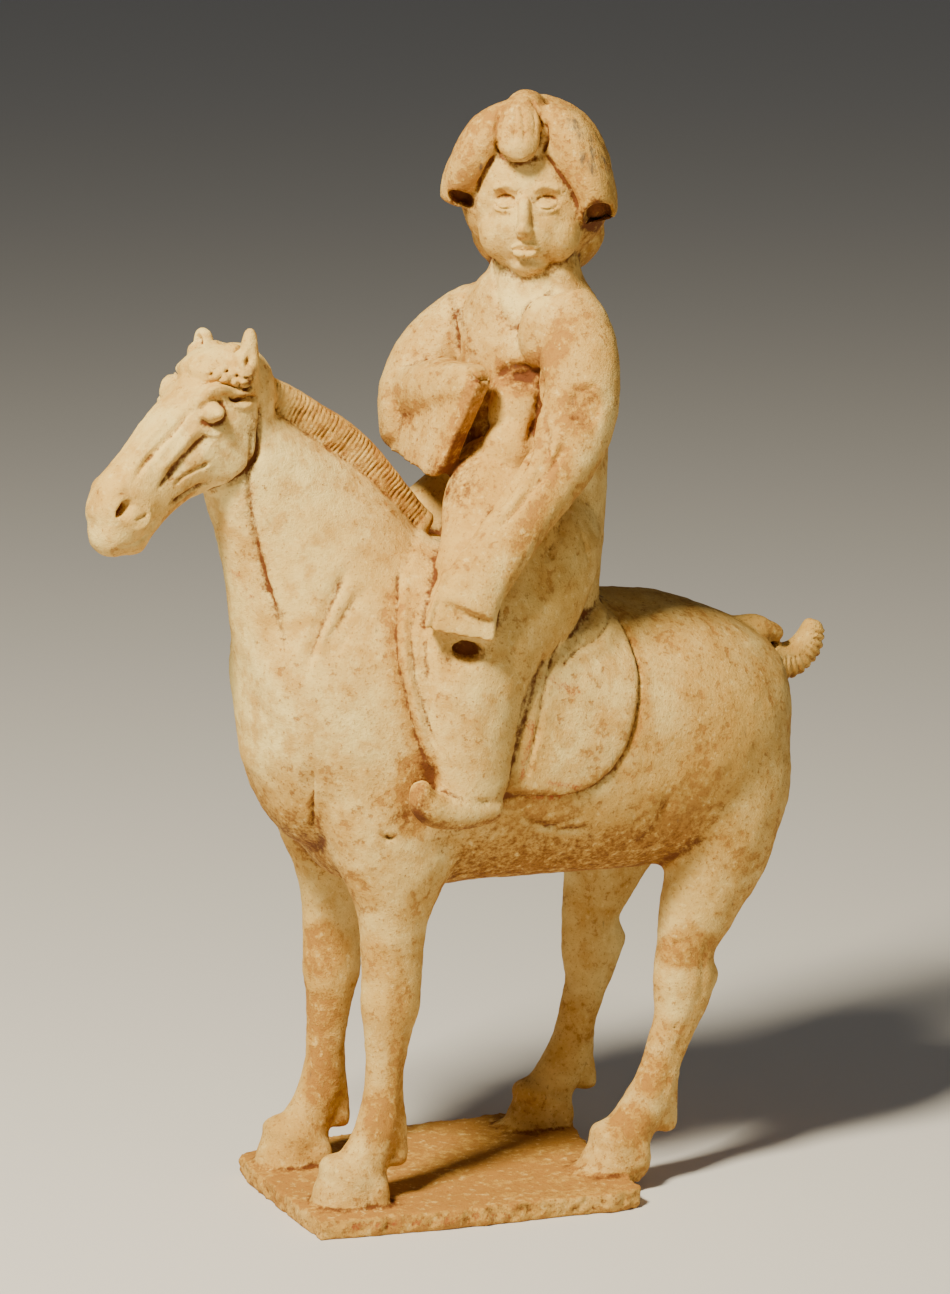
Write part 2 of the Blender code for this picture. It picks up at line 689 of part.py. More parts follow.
def slab_outline():
    """The uneven edge of the slab, anticlockwise, in units about its middle."""
    length, width = SLAB_LENGTH / UNIT, SLAB_WIDTH / UNIT
    shape = ((0.41, -0.48), (0.44, -0.28), (0.47, -0.03), (0.48, 0.22), (0.475, 0.44), (0.17, 0.46), (-0.10, 0.49))
    shape += ((-0.33, 0.53), (-0.50, 0.51), (-0.52, 0.31), (-0.525, 0.09), (-0.49, -0.17), (-0.45, -0.35))
    shape += ((-0.385, -0.46), (0.03, -0.48))
    return [(x * width, y * length) for x, y in shape]


def make_slab():
    """The flat slab, its edge worn round."""
    loop = slab_outline()
    clay = bmesh.new()
    low = [clay.verts.new((x * UNIT, y * UNIT, 0)) for x, y in loop]
    face = clay.faces.new(low[::-1])
    made = bmesh.ops.extrude_face_region(clay, geom=[face])
    top = [v for v in made["geom"] if isinstance(v, bmesh.types.BMVert)]
    bmesh.ops.translate(clay, verts=top, vec=(0, 0, SLAB_THICKNESS))
    bmesh.ops.recalc_face_normals(clay, faces=clay.faces)
    mesh = bpy.data.meshes.new("slab")
    clay.to_mesh(mesh)
    clay.free()
    slab = bpy.data.objects.new("slab", mesh)
    bpy.context.scene.collection.objects.link(slab)
    worn = slab.modifiers.new("worn edge", "BEVEL")
    worn.width = SLAB_THICKNESS * 0.22
    worn.segments = 2
    return slab


def pottery():
    """Unglazed clay under cream slip."""
    clay = bpy.data.materials.new("slipped pottery")
    clay.use_nodes = True
    shader = clay.node_tree.nodes["Principled BSDF"]
    shader.inputs["Base Color"].default_value = (0.66, 0.50, 0.29, 1)
    shader.inputs["Roughness"].default_value = 0.8
    shader.inputs["Metallic"].default_value = 0
    return clay


def main():
    for old in list(bpy.data.objects):
        bpy.data.objects.remove(old)
    body = skinned(add_horse_body, body_softening=BODY_SOFTENING)
    horse = skinned(add_horse_details, body)
    add_horse_marks(Skin(horse))
    skin = skinned(add_lady, horse)
    add_lady_marks(Skin(skin))
    mesh = thinned(skin, FIGURE_TRIANGLES)
    mesh.transform(Matrix.Translation((0, 0, SLAB_THICKNESS)) @ Matrix.Scale(UNIT, 4))
    figure = bpy.data.objects.new("equestrienne", mesh)
    group = bpy.data.collections.new("pottery tomb figurine")
    bpy.context.scene.collection.children.link(group)
    group.objects.link(figure)
    join = figure.modifiers.new("slab", "BOOLEAN")
    join.operation = "UNION"
    join.solver = "EXACT"
    slab = make_slab()
    join.object = slab
    graph = bpy.context.evaluated_depsgraph_get()
    whole = bpy.data.meshes.new_from_object(figure.evaluated_get(graph))
    figure.modifiers.clear()
    figure.data = whole
    bpy.data.objects.remove(slab)
    whole.materials.clear()
    whole.materials.append(pottery())


main()
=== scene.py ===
"""Scene for the pottery tomb figurine: a court lady on a standing horse, in worn cream slip on ochre clay.

The forms are those of the part's solids, made again on a finer skin so that they can carry the small carving.
They are drawn in units of 1/540 of the figure's height, which are millimetres at the size built, with heights
measured from the top face of the slab. The horse faces -Y and its left side is +X.
"""

import json
import math

import bmesh
import bpy
import numpy as np
from mathutils import Matrix, Vector, noise
from mathutils.bvhtree import BVHTree

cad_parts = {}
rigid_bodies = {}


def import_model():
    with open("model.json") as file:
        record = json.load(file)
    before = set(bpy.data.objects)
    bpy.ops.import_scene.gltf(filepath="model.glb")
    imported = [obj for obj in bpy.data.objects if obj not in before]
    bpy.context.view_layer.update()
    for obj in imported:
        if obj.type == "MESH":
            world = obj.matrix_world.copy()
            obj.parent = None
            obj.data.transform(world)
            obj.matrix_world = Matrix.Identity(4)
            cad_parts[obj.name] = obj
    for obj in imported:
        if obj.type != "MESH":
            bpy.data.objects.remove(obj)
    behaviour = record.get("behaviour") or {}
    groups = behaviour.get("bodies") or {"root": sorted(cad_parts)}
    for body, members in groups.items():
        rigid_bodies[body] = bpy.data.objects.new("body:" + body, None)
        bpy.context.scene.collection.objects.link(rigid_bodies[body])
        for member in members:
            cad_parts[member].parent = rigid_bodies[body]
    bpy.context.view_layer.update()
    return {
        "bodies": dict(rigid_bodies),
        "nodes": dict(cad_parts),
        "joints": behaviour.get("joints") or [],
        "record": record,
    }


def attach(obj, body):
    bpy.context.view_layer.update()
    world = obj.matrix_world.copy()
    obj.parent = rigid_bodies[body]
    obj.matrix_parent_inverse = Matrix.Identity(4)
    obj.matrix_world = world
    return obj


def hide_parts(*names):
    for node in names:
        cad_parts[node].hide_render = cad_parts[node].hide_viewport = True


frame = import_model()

# Sizes, in metres
FIGURE_HEIGHT = 0.540
SLAB_LENGTH = 0.180
SLAB_WIDTH = 0.150
SLAB_THICKNESS = 0.010
UNITS_TALL = 540.0
UNIT = FIGURE_HEIGHT / UNITS_TALL

# Surface of the clay: lengths in units, softening in rounds
VOXEL = 1.25
SOFTENING = 15
ROBE_SOFTENING = 7
BODY_SOFTENING = 124
FIGURE_TRIANGLES = 186000
HOOF_SINK = 0.35 * SLAB_THICKNESS / UNIT
MANE_SPACING = 2.4
RIB_SPACING = 3.1


# Shaping

def placed(name, data):
    """A new object in the scene."""
    made = bpy.data.objects.new(name, data)
    bpy.context.scene.collection.objects.link(made)
    return made


def spline(rows, steps):
    """Catmull-Rom curve through rows of any width, with steps points for each span."""
    rows = np.array(rows, float)
    ends = np.vstack([2 * rows[0] - rows[1], rows, 2 * rows[-1] - rows[-2]])
    out = []
    for i in range(1, len(ends) - 2):
        a, b, c, d = ends[i - 1 : i + 3]
        for t in np.arange(steps) / steps:
            bend = (2 * a - 5 * b + 4 * c - d) * t * t + (3 * b - a - 3 * c + d) * t**3
            out.append(0.5 * (2 * b + (c - a) * t + bend))
    out.append(rows[-1])
    return np.array(out)


def tube(clay, rows, side=(1, 0, 0), steps=6, sides=40, power=2.0, dome=0.7):
    """A limb of clay with domed ends: each row is x, y, z, half width along side, half depth across it."""
    path = spline(rows, steps)
    tangent = np.gradient(path[:, :3], axis=0)
    tangent /= np.linalg.norm(tangent, axis=1)[:, None]
    side = np.array(side, float)
    angle = np.arange(sides) * 2 * math.pi / sides
    c, s = np.cos(angle), np.sin(angle)
    ring_x = np.sign(c) * np.abs(c) ** (2 / power)
    ring_y = np.sign(s) * np.abs(s) ** (2 / power)
    stations = [(row[:3], row[3], row[4], t) for row, t in zip(path, tangent)]
    caps = []
    for end, way in ((0, -1), (-1, 1)):
        centre, wide, deep, t = stations[end]
        reach = way * min(wide, deep) * dome
        bends = [math.radians(f) for f in (25, 50, 72)]
        caps.append([
            (centre + t * reach * math.sin(f), wide * math.cos(f), deep * math.cos(f), t) for f in bends
        ])
    rings = []
    for centre, wide, deep, t in caps[0][::-1] + stations + caps[1]:
        across = side - t * side.dot(t)
        across /= np.linalg.norm(across)
        up = np.cross(across, t)
        ring = centre + np.outer(ring_x * wide, across) + np.outer(ring_y * deep, up)
        rings.append([clay.verts.new(p) for p in ring])
    for low, high in zip(rings, rings[1:]):
        for i in range(sides):
            j = (i + 1) % sides
            clay.faces.new((low[i], low[j], high[j], high[i]))
    clay.faces.new(rings[0][::-1])
    clay.faces.new(rings[-1])


def ball(clay, centre, radii, turn=0.0, tip=0.0):
    """An ellipsoid of clay, tipped about X and then turned about Z, in degrees."""
    place = (
        Matrix.Translation(centre)
        @ Matrix.Rotation(math.radians(turn), 4, "Z")
        @ Matrix.Rotation(math.radians(tip), 4, "X")
        @ Matrix.Diagonal((*radii, 1))
    )
    bmesh.ops.create_uvsphere(clay, u_segments=32, v_segments=20, radius=1.0, matrix=place)


def wedge(clay, corners):
    """A block of clay with flat faces through these corners."""
    verts = [clay.verts.new(p) for p in corners]
    made = bmesh.ops.convex_hull(clay, input=verts)
    spare = [e for e in made["geom_interior"] + made["geom_unused"] if isinstance(e, bmesh.types.BMVert)]
    bmesh.ops.delete(clay, geom=spare, context="VERTS")


class Frame:
    """A place that the forms are drawn from: an origin, and how far it is turned from -Y towards +X."""

    def __init__(self, origin=(0, 0, 0), turn=0.0):
        self.origin = Vector(origin)
        self.turn = turn
        self.spin = Matrix.Rotation(math.radians(turn), 3, "Z")

    def rows(self, rows):
        """Rows drawn with x to the left, y backward and z up, placed in the figure."""
        return [(*(self.origin + self.spin @ Vector(r[:3])), *r[3:]) for r in rows]

    def at(self, x, y, z):
        return Vector(self.rows([(x, y, z)])[0])

    def left(self):
        return self.spin @ Vector((1, 0, 0))

    def facing(self, view):
        """The directions to the right and out of the picture, as seen from this side."""
        angle = math.radians(self.turn + view)
        return (math.cos(angle), math.sin(angle), 0), (math.sin(angle), -math.cos(angle), 0)


WHOLE = Frame()
HORSE_HEAD = Frame((0, -98, 0), 12.0)
TORSO = Frame((5, 50, 0), 28.0)
LADY_HEAD = Frame((8, 49, 484), 58.0)


# The horse: x, y, z, half width, half depth

TRUNK = (
    (0, -100, 236, 9, 13), (0, -97, 236, 22, 31), (0, -88, 238, 40, 52), (0, -70, 241, 52, 71),
    (0, -48, 240, 59, 84), (0, -20, 237, 64, 88), (0, 15, 231, 67, 84), (0, 50, 224, 69, 76),
    (0, 85, 219, 70, 71), (0, 115, 218, 69, 69), (0, 138, 216, 65, 62), (0, 158, 212, 56, 54),
    (0, 172, 208, 43, 44), (0, 181, 206, 25, 28), (0, 184, 205, 10, 12),
)
BREAST = (0, -65, 250)
BREAST_SIZE = (49, 37.5, 78)
NECK = (
    (0, -38, 252, 54, 62), (0, -52, 291, 45, 56), (0, -67, 322, 34, 47.5), (0, -85, 349, 26, 35.5),
    (0, -101, 373, 21, 26), (0, -110, 390, 17, 20),
)
MANE = (
    (0, -102, 404, 6, 6), (0, -94, 402, 6.5, 7), (0, -76, 392, 7, 7.5), (0, -56, 378.5, 7.5, 8),
    (0, -38.5, 363, 7.5, 8.5), (0, -25, 347, 8, 8.5), (0, -12, 330, 8, 9),
)

# The horse's head: backward from the pivot of its neck
SKULL = (
    (0, 2, 396, 18, 23), (0, -8, 396, 21, 28), (0, -18, 387, 23, 27.5), (0, -32, 377.5, 20.5, 25),
    (0, -47, 368, 15.5, 21.5), (0, -58.5, 358.5, 14, 19.5), (0, -68.5, 350, 15.5, 19),
    (0, -72.5, 342, 14.5, 17.3),
)
JOWL = (10, -15, 376)
JOWL_SIZE = (12, 21, 22)
EYE = (20.5, -32, 394)
EYE_SIZE = (5, 5.2, 5.2)
BROW = (16, -30, 403)
BROW_SIZE = (6, 11, 4.5)
CHIN = (0, -67, 334)
CHIN_SIZE = (11, 9.5, 8)
LIP = (0, -76.5, 338)
LIP_SIZE = (13, 11.5, 12)
FORELOCK = (0, -9, 413)
FORELOCK_SIZE = (13, 10, 10)
EAR = (
    (15.5, -12, 402, 7, 6), (17.5, -11, 411, 7, 5.5), (19, -10.5, 420, 6, 4.8), (19.5, -10.5, 427, 4.6, 4),
    (19.5, -10, 432, 3, 2.8),
)
FAR_EAR = (
    (-15.5, -13, 404, 7, 6), (-17.5, -12.5, 412, 7, 5.5), (-19, -12, 420, 6.5, 5), (-19.5, -12, 427, 5, 4),
)
TAIL = (
    (0, 163, 254, 11, 13), (0, 177, 248, 10, 11), (0, 189, 245, 9, 10), (0, 198, 247, 8, 9.3),
    (0, 205, 254, 7, 8.3), (0, 208, 262.5, 5.6, 6),
)
TAIL_FLAP = ((0, 167, 263, 9, 7.5), (2, 176, 264, 8, 6), (3, 186, 260, 6, 4.5))

# Legs, drawn about x = 0
FORELEG = (
    (-10, -44, 272, 20, 34), (-5, -42, 240, 24, 37), (-1, -39, 208, 23, 35), (0, -36, 172, 20.5, 31),
    (0, -36, 156, 18, 25), (0, -37, 140, 15, 18.5), (0, -37.5, 124, 13.5, 16.4), (0, -38, 108, 13, 15.4),
    (0, -39, 96, 13, 15), (0, -40, 84, 11, 12.4), (0, -41.5, 68, 9.5, 10.2), (0, -43, 52, 9.5, 10),
    (0, -44.5, 39, 10.5, 11.8), (0, -49, 28, 10.5, 11.2), (0, -54, 18, 12, 13), (0, -60, 5, 16, 18.5),
    (0, -61, -HOOF_SINK, 17, 19.5),
)
HINDLEG = (
    (-12, 132, 250, 16, 32), (-6, 137, 225, 25, 38), (-1, 140, 192, 27, 38.5), (0, 140.5, 163, 23, 28),
    (0, 136, 149, 19.5, 25.5), (0, 130.5, 137, 17, 22.5), (0, 126, 125, 15, 20), (0, 122, 113, 13, 16.4),
    (0, 120.5, 105, 12.5, 15.4), (0, 121, 96, 12.5, 17), (0, 120, 88, 12, 16), (0, 118, 78, 10.5, 13.5),
    (0, 115, 69, 10, 11.2), (0, 111, 59, 9.5, 10.6), (0, 107, 47, 9.5, 10.6), (0, 103, 37, 10.5, 12),
    (0, 96, 26, 11, 12), (0, 89, 16, 12, 13.5), (0, 82.5, 4, 15.5, 16), (0, 81, -HOOF_SINK, 17, 17.5),
)
FORE_TUFT = (
    (0, -37, 64, 4, 4), (0, -36.5, 46, 5, 5), (0, -36, 32, 5.5, 6), (0, -35.5, 22, 6, 6),
    (0, -35.5, 16, 5.5, 5.5),
)
HIND_TUFT = (
    (0, 117, 62, 4, 4), (0, 112.5, 46, 5, 5.5), (0, 111, 32, 5.5, 6), (0, 111, 22, 6, 6),
    (0, 111, 17, 5.5, 5.5),
)
HOCK = (0, 132.5, 95)
HOCK_SIZE = (7, 7.5, 8.5)
# Each foot's collar, its two heels and the clay smeared about it: place, size and tip
FORE_FOOT = (
    ((0, -58.5, 13), (15.5, 18.5, 9.5), -20), ((9, -50.5, 4), (8, 8, 10.5), 0),
    ((-9, -50.5, 4), (8, 8, 10.5), 0), ((0, -64, -2.5), (18.5, 18, 6), 0),
)
HIND_FOOT = (
    ((0, 85.5, 13.5), (15, 16.5, 9.5), -24), ((8, 91.5, 6), (8, 8, 11), 0), ((-8, 91.5, 6), (8, 8, 11), 0),
    ((0, 73, -2.5), (17.5, 15.5, 6), 0),
)

# Where each leg stands: x, y and how far it leans for each unit of height
FORELEGS_AT = ((35, 0, 0), (-41, -1, 0))
HINDLEGS_AT = ((34, 0, 0), (-54, -3, -0.09))


# The rider

BODY = (
    (0, -10, 262, 40, 36), (0, -10, 298, 40, 37), (0, -6, 322, 40, 37), (0, -2, 345, 39, 36),
    (0, 1, 380, 39, 34), (0, 1, 410, 41, 32), (0, 1, 428, 40, 27), (1, 0, 440, 34, 23.5),
    (2, -1, 449, 26, 20), (3, -2, 460, 22, 18),
)
ROBE_LEG = (
    (14, 42, 356, 22, 34), (29, 34, 337, 24, 42), (40, 27, 318, 25, 42), (49, 15, 297, 24, 39),
    (55, 4, 284, 22, 33), (58, -1, 271, 20, 29), (61, -5, 254, 18, 25), (63, -7, 236, 16, 22),
    (64, -8, 218, 15, 19.5), (65, -9, 206, 14, 17),
)
FAR_HIP = (
    (18, 40, 344, 20, 28), (29, 32, 326, 24, 34), (39, 22, 308, 25, 37), (48, 12, 292, 23, 36),
)
SHOE = (
    (68, 0, 200, 9, 8), (70, -13, 200, 10, 9), (72, -27, 201, 9.5, 9), (74, -36, 206, 8, 8),
    (75, -39, 214, 5, 5),
)
LEFT_ARM = (
    (36, 54, 440, 13, 13), (42, 55, 428, 18, 17), (50, 55, 410, 19.5, 18), (56, 52, 388, 19, 17),
    (61, 42, 368, 17, 15), (66, 25, 349, 15, 13), (71, 7, 330, 14.5, 11), (76, -10, 312, 15, 10),
    (78, -17, 300, 15.5, 9),
)
RIGHT_ARM = (
    (-22, 38, 433, 12, 12), (-29, 28, 424, 16, 16), (-33, 14, 409, 18, 18), (-33, 3, 393, 16, 18),
    (-28, -3, 380, 13, 17), (-25, -7, 368, 10, 13),
)
# Her head: the skull with its face ahead, hair over the crown and behind; cheeks, chin, lids and lips
HEAD_BALLS = (
    ((25.5, 27, 29), (0, -4, -6)), ((38, 34, 43), (0, 6, 10)), ((33, 22, 24), (0, 14, -14)),
    ((12, 11, 14), (13, -15, -12)), ((9, 7, 6), (0, -18, -27)), ((5.5, 3, 2.6), (10.5, -25.5, 0.5)),
    ((6.5, 2.8, 2.6), (0, -28, -20)),
)
NOSE = ((0, -29, 5, 2.5, 2.5), (0, -31.5, -5, 3, 3), (0, -32.5, -11, 4, 3.5))
HAIR_ROLL = (
    (8, -10, 42, 10, 13), (18, -14, 35, 12.5, 14), (26, -14, 22, 12, 15), (31.5, -12, 9, 10.5, 16),
    (33, -9, -3, 9.5, 14),
)
FAR_ROLL = (
    (-8, -10, 42, 10, 13), (-18, -14, 35, 12, 14), (-27, -14, 23, 11.5, 14), (-34, -11, 12, 9.5, 12),
    (-37, -9.5, 3, 8, 9.5),
)
TOP_LOCK = (
    (-2, 2, 47, 8.5, 7), (-2.5, -12, 49, 9.5, 7.5), (-3, -24, 43, 10.5, 7.5), (-3, -31, 33, 10.3, 7),
    (-3, -32, 27, 8.5, 5.5),
)
# The way she faces, and how her left sleeve lies
AHEAD = (0.469, -0.883, 0)
SLEEVE_SIDE = (0.39, 0.92, 0)
SLEEVE_TURN = 39
CUFF_DEPTH = 14
SHOULDER = (25, -21, 424)
SHOULDER_SIZE = (14, 12, 19)
FRONT_FOLDS = (((10.8, -26, 386), (14, 11, 20)), ((12.2, -32.6, 368), (14, 12, 15)))
CUFF = ((77, -38, 292), (90, -7, 285), (83, -1, 312), (75, -27, 318))
FOREARM_SLAB = (
    (-33, 2, 402), (-34, -6, 380), (-26, -11, 363), (20, -8, 355), (26, -4, 359), (42, 9, 404),
    (36, 8, 410), (0, 2, 410),
)
FOREARM = ((-26, -6, 389, 12, 9), (-4, -4, 394, 13, 8), (18, 1, 398, 12, 7), (34, 5, 401, 9, 6))


# Marks on the horse as seen from its side: backward and up

CLOTH = (
    (30, 345), (0, 345), (-6, 334), (-23, 321), (-37, 301), (-42, 278), (-39, 255), (-33, 235), (-27, 219),
    (-10, 208), (20, 205), (38, 202.5), (53, 206), (64, 214.5), (73, 229), (79, 246), (81.5, 268),
    (76, 286), (58, 300),
)
CANTLE = ((55, 299), (68, 290), (72, 280), (65, 272), (48, 270))
HORSE_CUTS = (
    (((-109, 352), (-101, 322), (-93, 290), (-91, 276)), 3.5, 1.4),
    (((-60, 318), (-74, 296), (-86, 268)), 5, 1.8),
    (((-51, 309), (-66, 290), (-77, 270)), 4.5, 1.6),
    (((-84, 224), (-80, 205), (-72, 184)), 3.5, 1.4),
    (((18, 193), (40, 183), (58, 183)), 4, 1.4),
    (((84, 168), (92, 180), (96, 196)), 6, 1.6),
    (((131, 122), (126, 106), (126, 92), (121, 78), (114, 60), (107, 42), (103, 28)), 3.2, 1.2),
    (((-32, 96), (-33, 74), (-36, 54), (-38, 40), (-42, 27)), 3, 1),
)
# Bumps and hollows: frame, side, place, half width and half height, depth, edge, turn, tilt
HOLLOWS = (
    (LADY_HEAD, 9, (31, -4), (8, 8.5), 12, 0.4, -12, -10),
    (LADY_HEAD, 9, (-35, 3.5), (8, 4.8), 9, 0.45, -35, -12),
    (TORSO, 60, (-61, 278), (8, 5.5), 9, 0.35, 0, -15),
)
HORSE_HOLLOWS = (
    *((HORSE_HEAD, 90 * s, (-78 * s, 351), (3, 5.8), 6, 0.5, -35 * s, 0) for s in (1, -1)),
    *((HORSE_HEAD, 90 * s, (-32 * s, 394.5), (6.2, 5.8), -3.6, 0.9, 0, 0) for s in (1, -1)),
    *((HORSE_HEAD, 90 * s, (-80 * s, 361), (5, 4), -1.6, 1.0, 0, 0) for s in (1, -1)),
    (WHOLE, 90, (180, 254), (6.5, 2.8), 6, 0.5, 15, 0),
)
# The horse's forelock, flopped forward, seen from its left front
TUFT = (
    (-27, 414), (-24, 418), (-16, 421), (-11, 423), (-4, 423), (1, 419), (5, 412), (2, 406), (-5, 405.5),
    (-13, 408), (-19, 410), (-25, 411),
)
HORSE_HEAD_CUTS = (
    (((-31, 386), (-43, 374), (-56, 360)), 3.5, 2),
    (((-37, 399), (-54, 383), (-68, 368)), 3, 1),
    (((-77, 345), (-77, 350), (-73, 355)), 4, 3.5),
    (((-56, 346), (-62, 342), (-68, 337)), 3, 1.8),
    (((-3, 402), (-5, 386), (-7, 372), (-12, 365), (-19, 358), (-26, 354)), 4, 2.2),
)
# Cuts in her robe: the side they are seen from, across and up, then width and depth
ROBE_CUTS = (
    (0, ((-36, 436), (-33, 421), (-27, 408)), 3, 1.4),
    (0, ((-11, 454), (-7, 444), (0, 432), (8, 427), (17, 437), (27, 450)), 3, 1.2),
    (0, ((0, 408), (12, 404), (26, 398)), 3.5, 1.4),
    (40, ((3, 412), (3, 399), (1, 384), (-5, 368), (-14, 353), (-30, 336)), 5, 2.2),
    (75, ((2, 372), (-6, 350), (-22, 330), (-36, 316)), 4.5, 1.6),
    (100, ((34, 362), (28, 336), (24, 310), (12, 288)), 4.5, 1.6),
)


def at_side(rows, x, y, lean):
    """Rows mirrored to the side of x and moved there, leaning back or forward up to the hock."""
    way = 1 if x > 0 else -1
    return [(x + way * r[0], r[1] + y + lean * min(max(r[2], 0), 110), *r[2:]) for r in rows]


def mirrored(rows):
    return [(-r[0], *r[1:]) for r in rows]


def add_horse_body(clay):
    tube(clay, TRUNK, power=2.15, dome=0.15)
    ball(clay, BREAST, BREAST_SIZE)
    tube(clay, NECK)
    for place in FORELEGS_AT:
        tube(clay, at_side(FORELEG, *place), dome=0.1)
    for place in HINDLEGS_AT:
        tube(clay, at_side(HINDLEG, *place), dome=0.1)
        ball(clay, at_side([HOCK], *place)[0], HOCK_SIZE)


def add_horse_details(clay):
    tube(clay, MANE, power=2.6)
    tube(clay, HORSE_HEAD.rows(SKULL), side=HORSE_HEAD.left(), power=2.3, dome=0.5)
    for s, ear in ((1, EAR), (-1, FAR_EAR)):
        for (x, y, z), size, tip in ((JOWL, JOWL_SIZE, 0), (EYE, EYE_SIZE, 0), (BROW, BROW_SIZE, 25)):
            ball(clay, HORSE_HEAD.at(x * s, y, z), size, turn=HORSE_HEAD.turn, tip=tip)
        tube(clay, HORSE_HEAD.rows(ear), side=HORSE_HEAD.left(), sides=20)
    ball(clay, HORSE_HEAD.at(*CHIN), CHIN_SIZE, turn=HORSE_HEAD.turn, tip=10)
    ball(clay, HORSE_HEAD.at(*LIP), LIP_SIZE, turn=HORSE_HEAD.turn)
    ball(clay, HORSE_HEAD.at(*FORELOCK), FORELOCK_SIZE, turn=HORSE_HEAD.turn)
    for lump in (TAIL, TAIL_FLAP):
        tube(clay, lump, sides=24)
    for places, tuft, foot in ((FORELEGS_AT, FORE_TUFT, FORE_FOOT), (HINDLEGS_AT, HIND_TUFT, HIND_FOOT)):
        for place in places:
            tube(clay, at_side(tuft, *place), sides=16, dome=0.2)
            for at, size, tip in foot:
                ball(clay, at_side([at], *place)[0], size, tip=tip)


def add_lady(clay):
    tube(clay, TORSO.rows(BODY), side=TORSO.left(), sides=48)
    tube(clay, ROBE_LEG, dome=0.25)
    tube(clay, mirrored(FAR_HIP + ROBE_LEG[4:]), dome=0.25)
    tube(clay, SHOE, sides=24)
    tube(clay, mirrored(SHOE), sides=24)
    tube(clay, LEFT_ARM, side=SLEEVE_SIDE, power=2.2, dome=0.2)
    for place, size in ((SHOULDER, SHOULDER_SIZE), *FRONT_FOLDS):
        ball(clay, TORSO.at(*place), size, turn=TORSO.turn + SLEEVE_TURN)
    wedge(clay, [(x - 0.92 * d, y + 0.40 * d, z) for d in (0, CUFF_DEPTH) for x, y, z in CUFF])
    tube(clay, RIGHT_ARM, side=TORSO.left())
    tube(clay, FOREARM, side=(0, 0, 1))
    wedge(clay, [Vector(p) + Vector(AHEAD) * d for d in (-5, 5) for p in FOREARM_SLAB])
    add_lady_head(clay)
    add_slab(clay)


def add_lady_head(clay):
    head = LADY_HEAD
    for size, at in HEAD_BALLS:
        ball(clay, head.at(*at), size, turn=head.turn)
        if at[0]:
            ball(clay, head.at(-at[0], *at[1:]), size, turn=head.turn)
    tube(clay, head.rows(NOSE), side=head.left(), sides=16)
    for roll in (HAIR_ROLL, FAR_ROLL):
        tube(clay, head.rows(roll), side=head.left(), dome=0.3)
    tube(clay, head.rows(TOP_LOCK), side=head.left(), sides=32)


# Marks pressed into the clay or raised on it

def fade(x):
    x = np.clip(x, 0, 1)
    return x * x * (3 - 2 * x)


def nearest_on(points, line):
    """For each point: its distance from a line, and its place on it, counted in the line's own points."""
    best = np.full(len(points), 1e9)
    place = np.zeros(len(points))
    for i, (a, b) in enumerate(zip(line, line[1:])):
        step = b - a
        t = np.clip((points - a) @ step / max(step @ step, 1e-9), 0, 1)
        gap = np.linalg.norm(points - a - t[:, None] * step, axis=1)
        closer = gap < best
        best[closer] = gap[closer]
        place[closer] = i + t[closer]
    return best, place


def boxed(points, line, margin):
    """Which points lie in the box around a line, widened by a margin."""
    return np.all((points > line.min(0) - margin) & (points < line.max(0) + margin), axis=1)


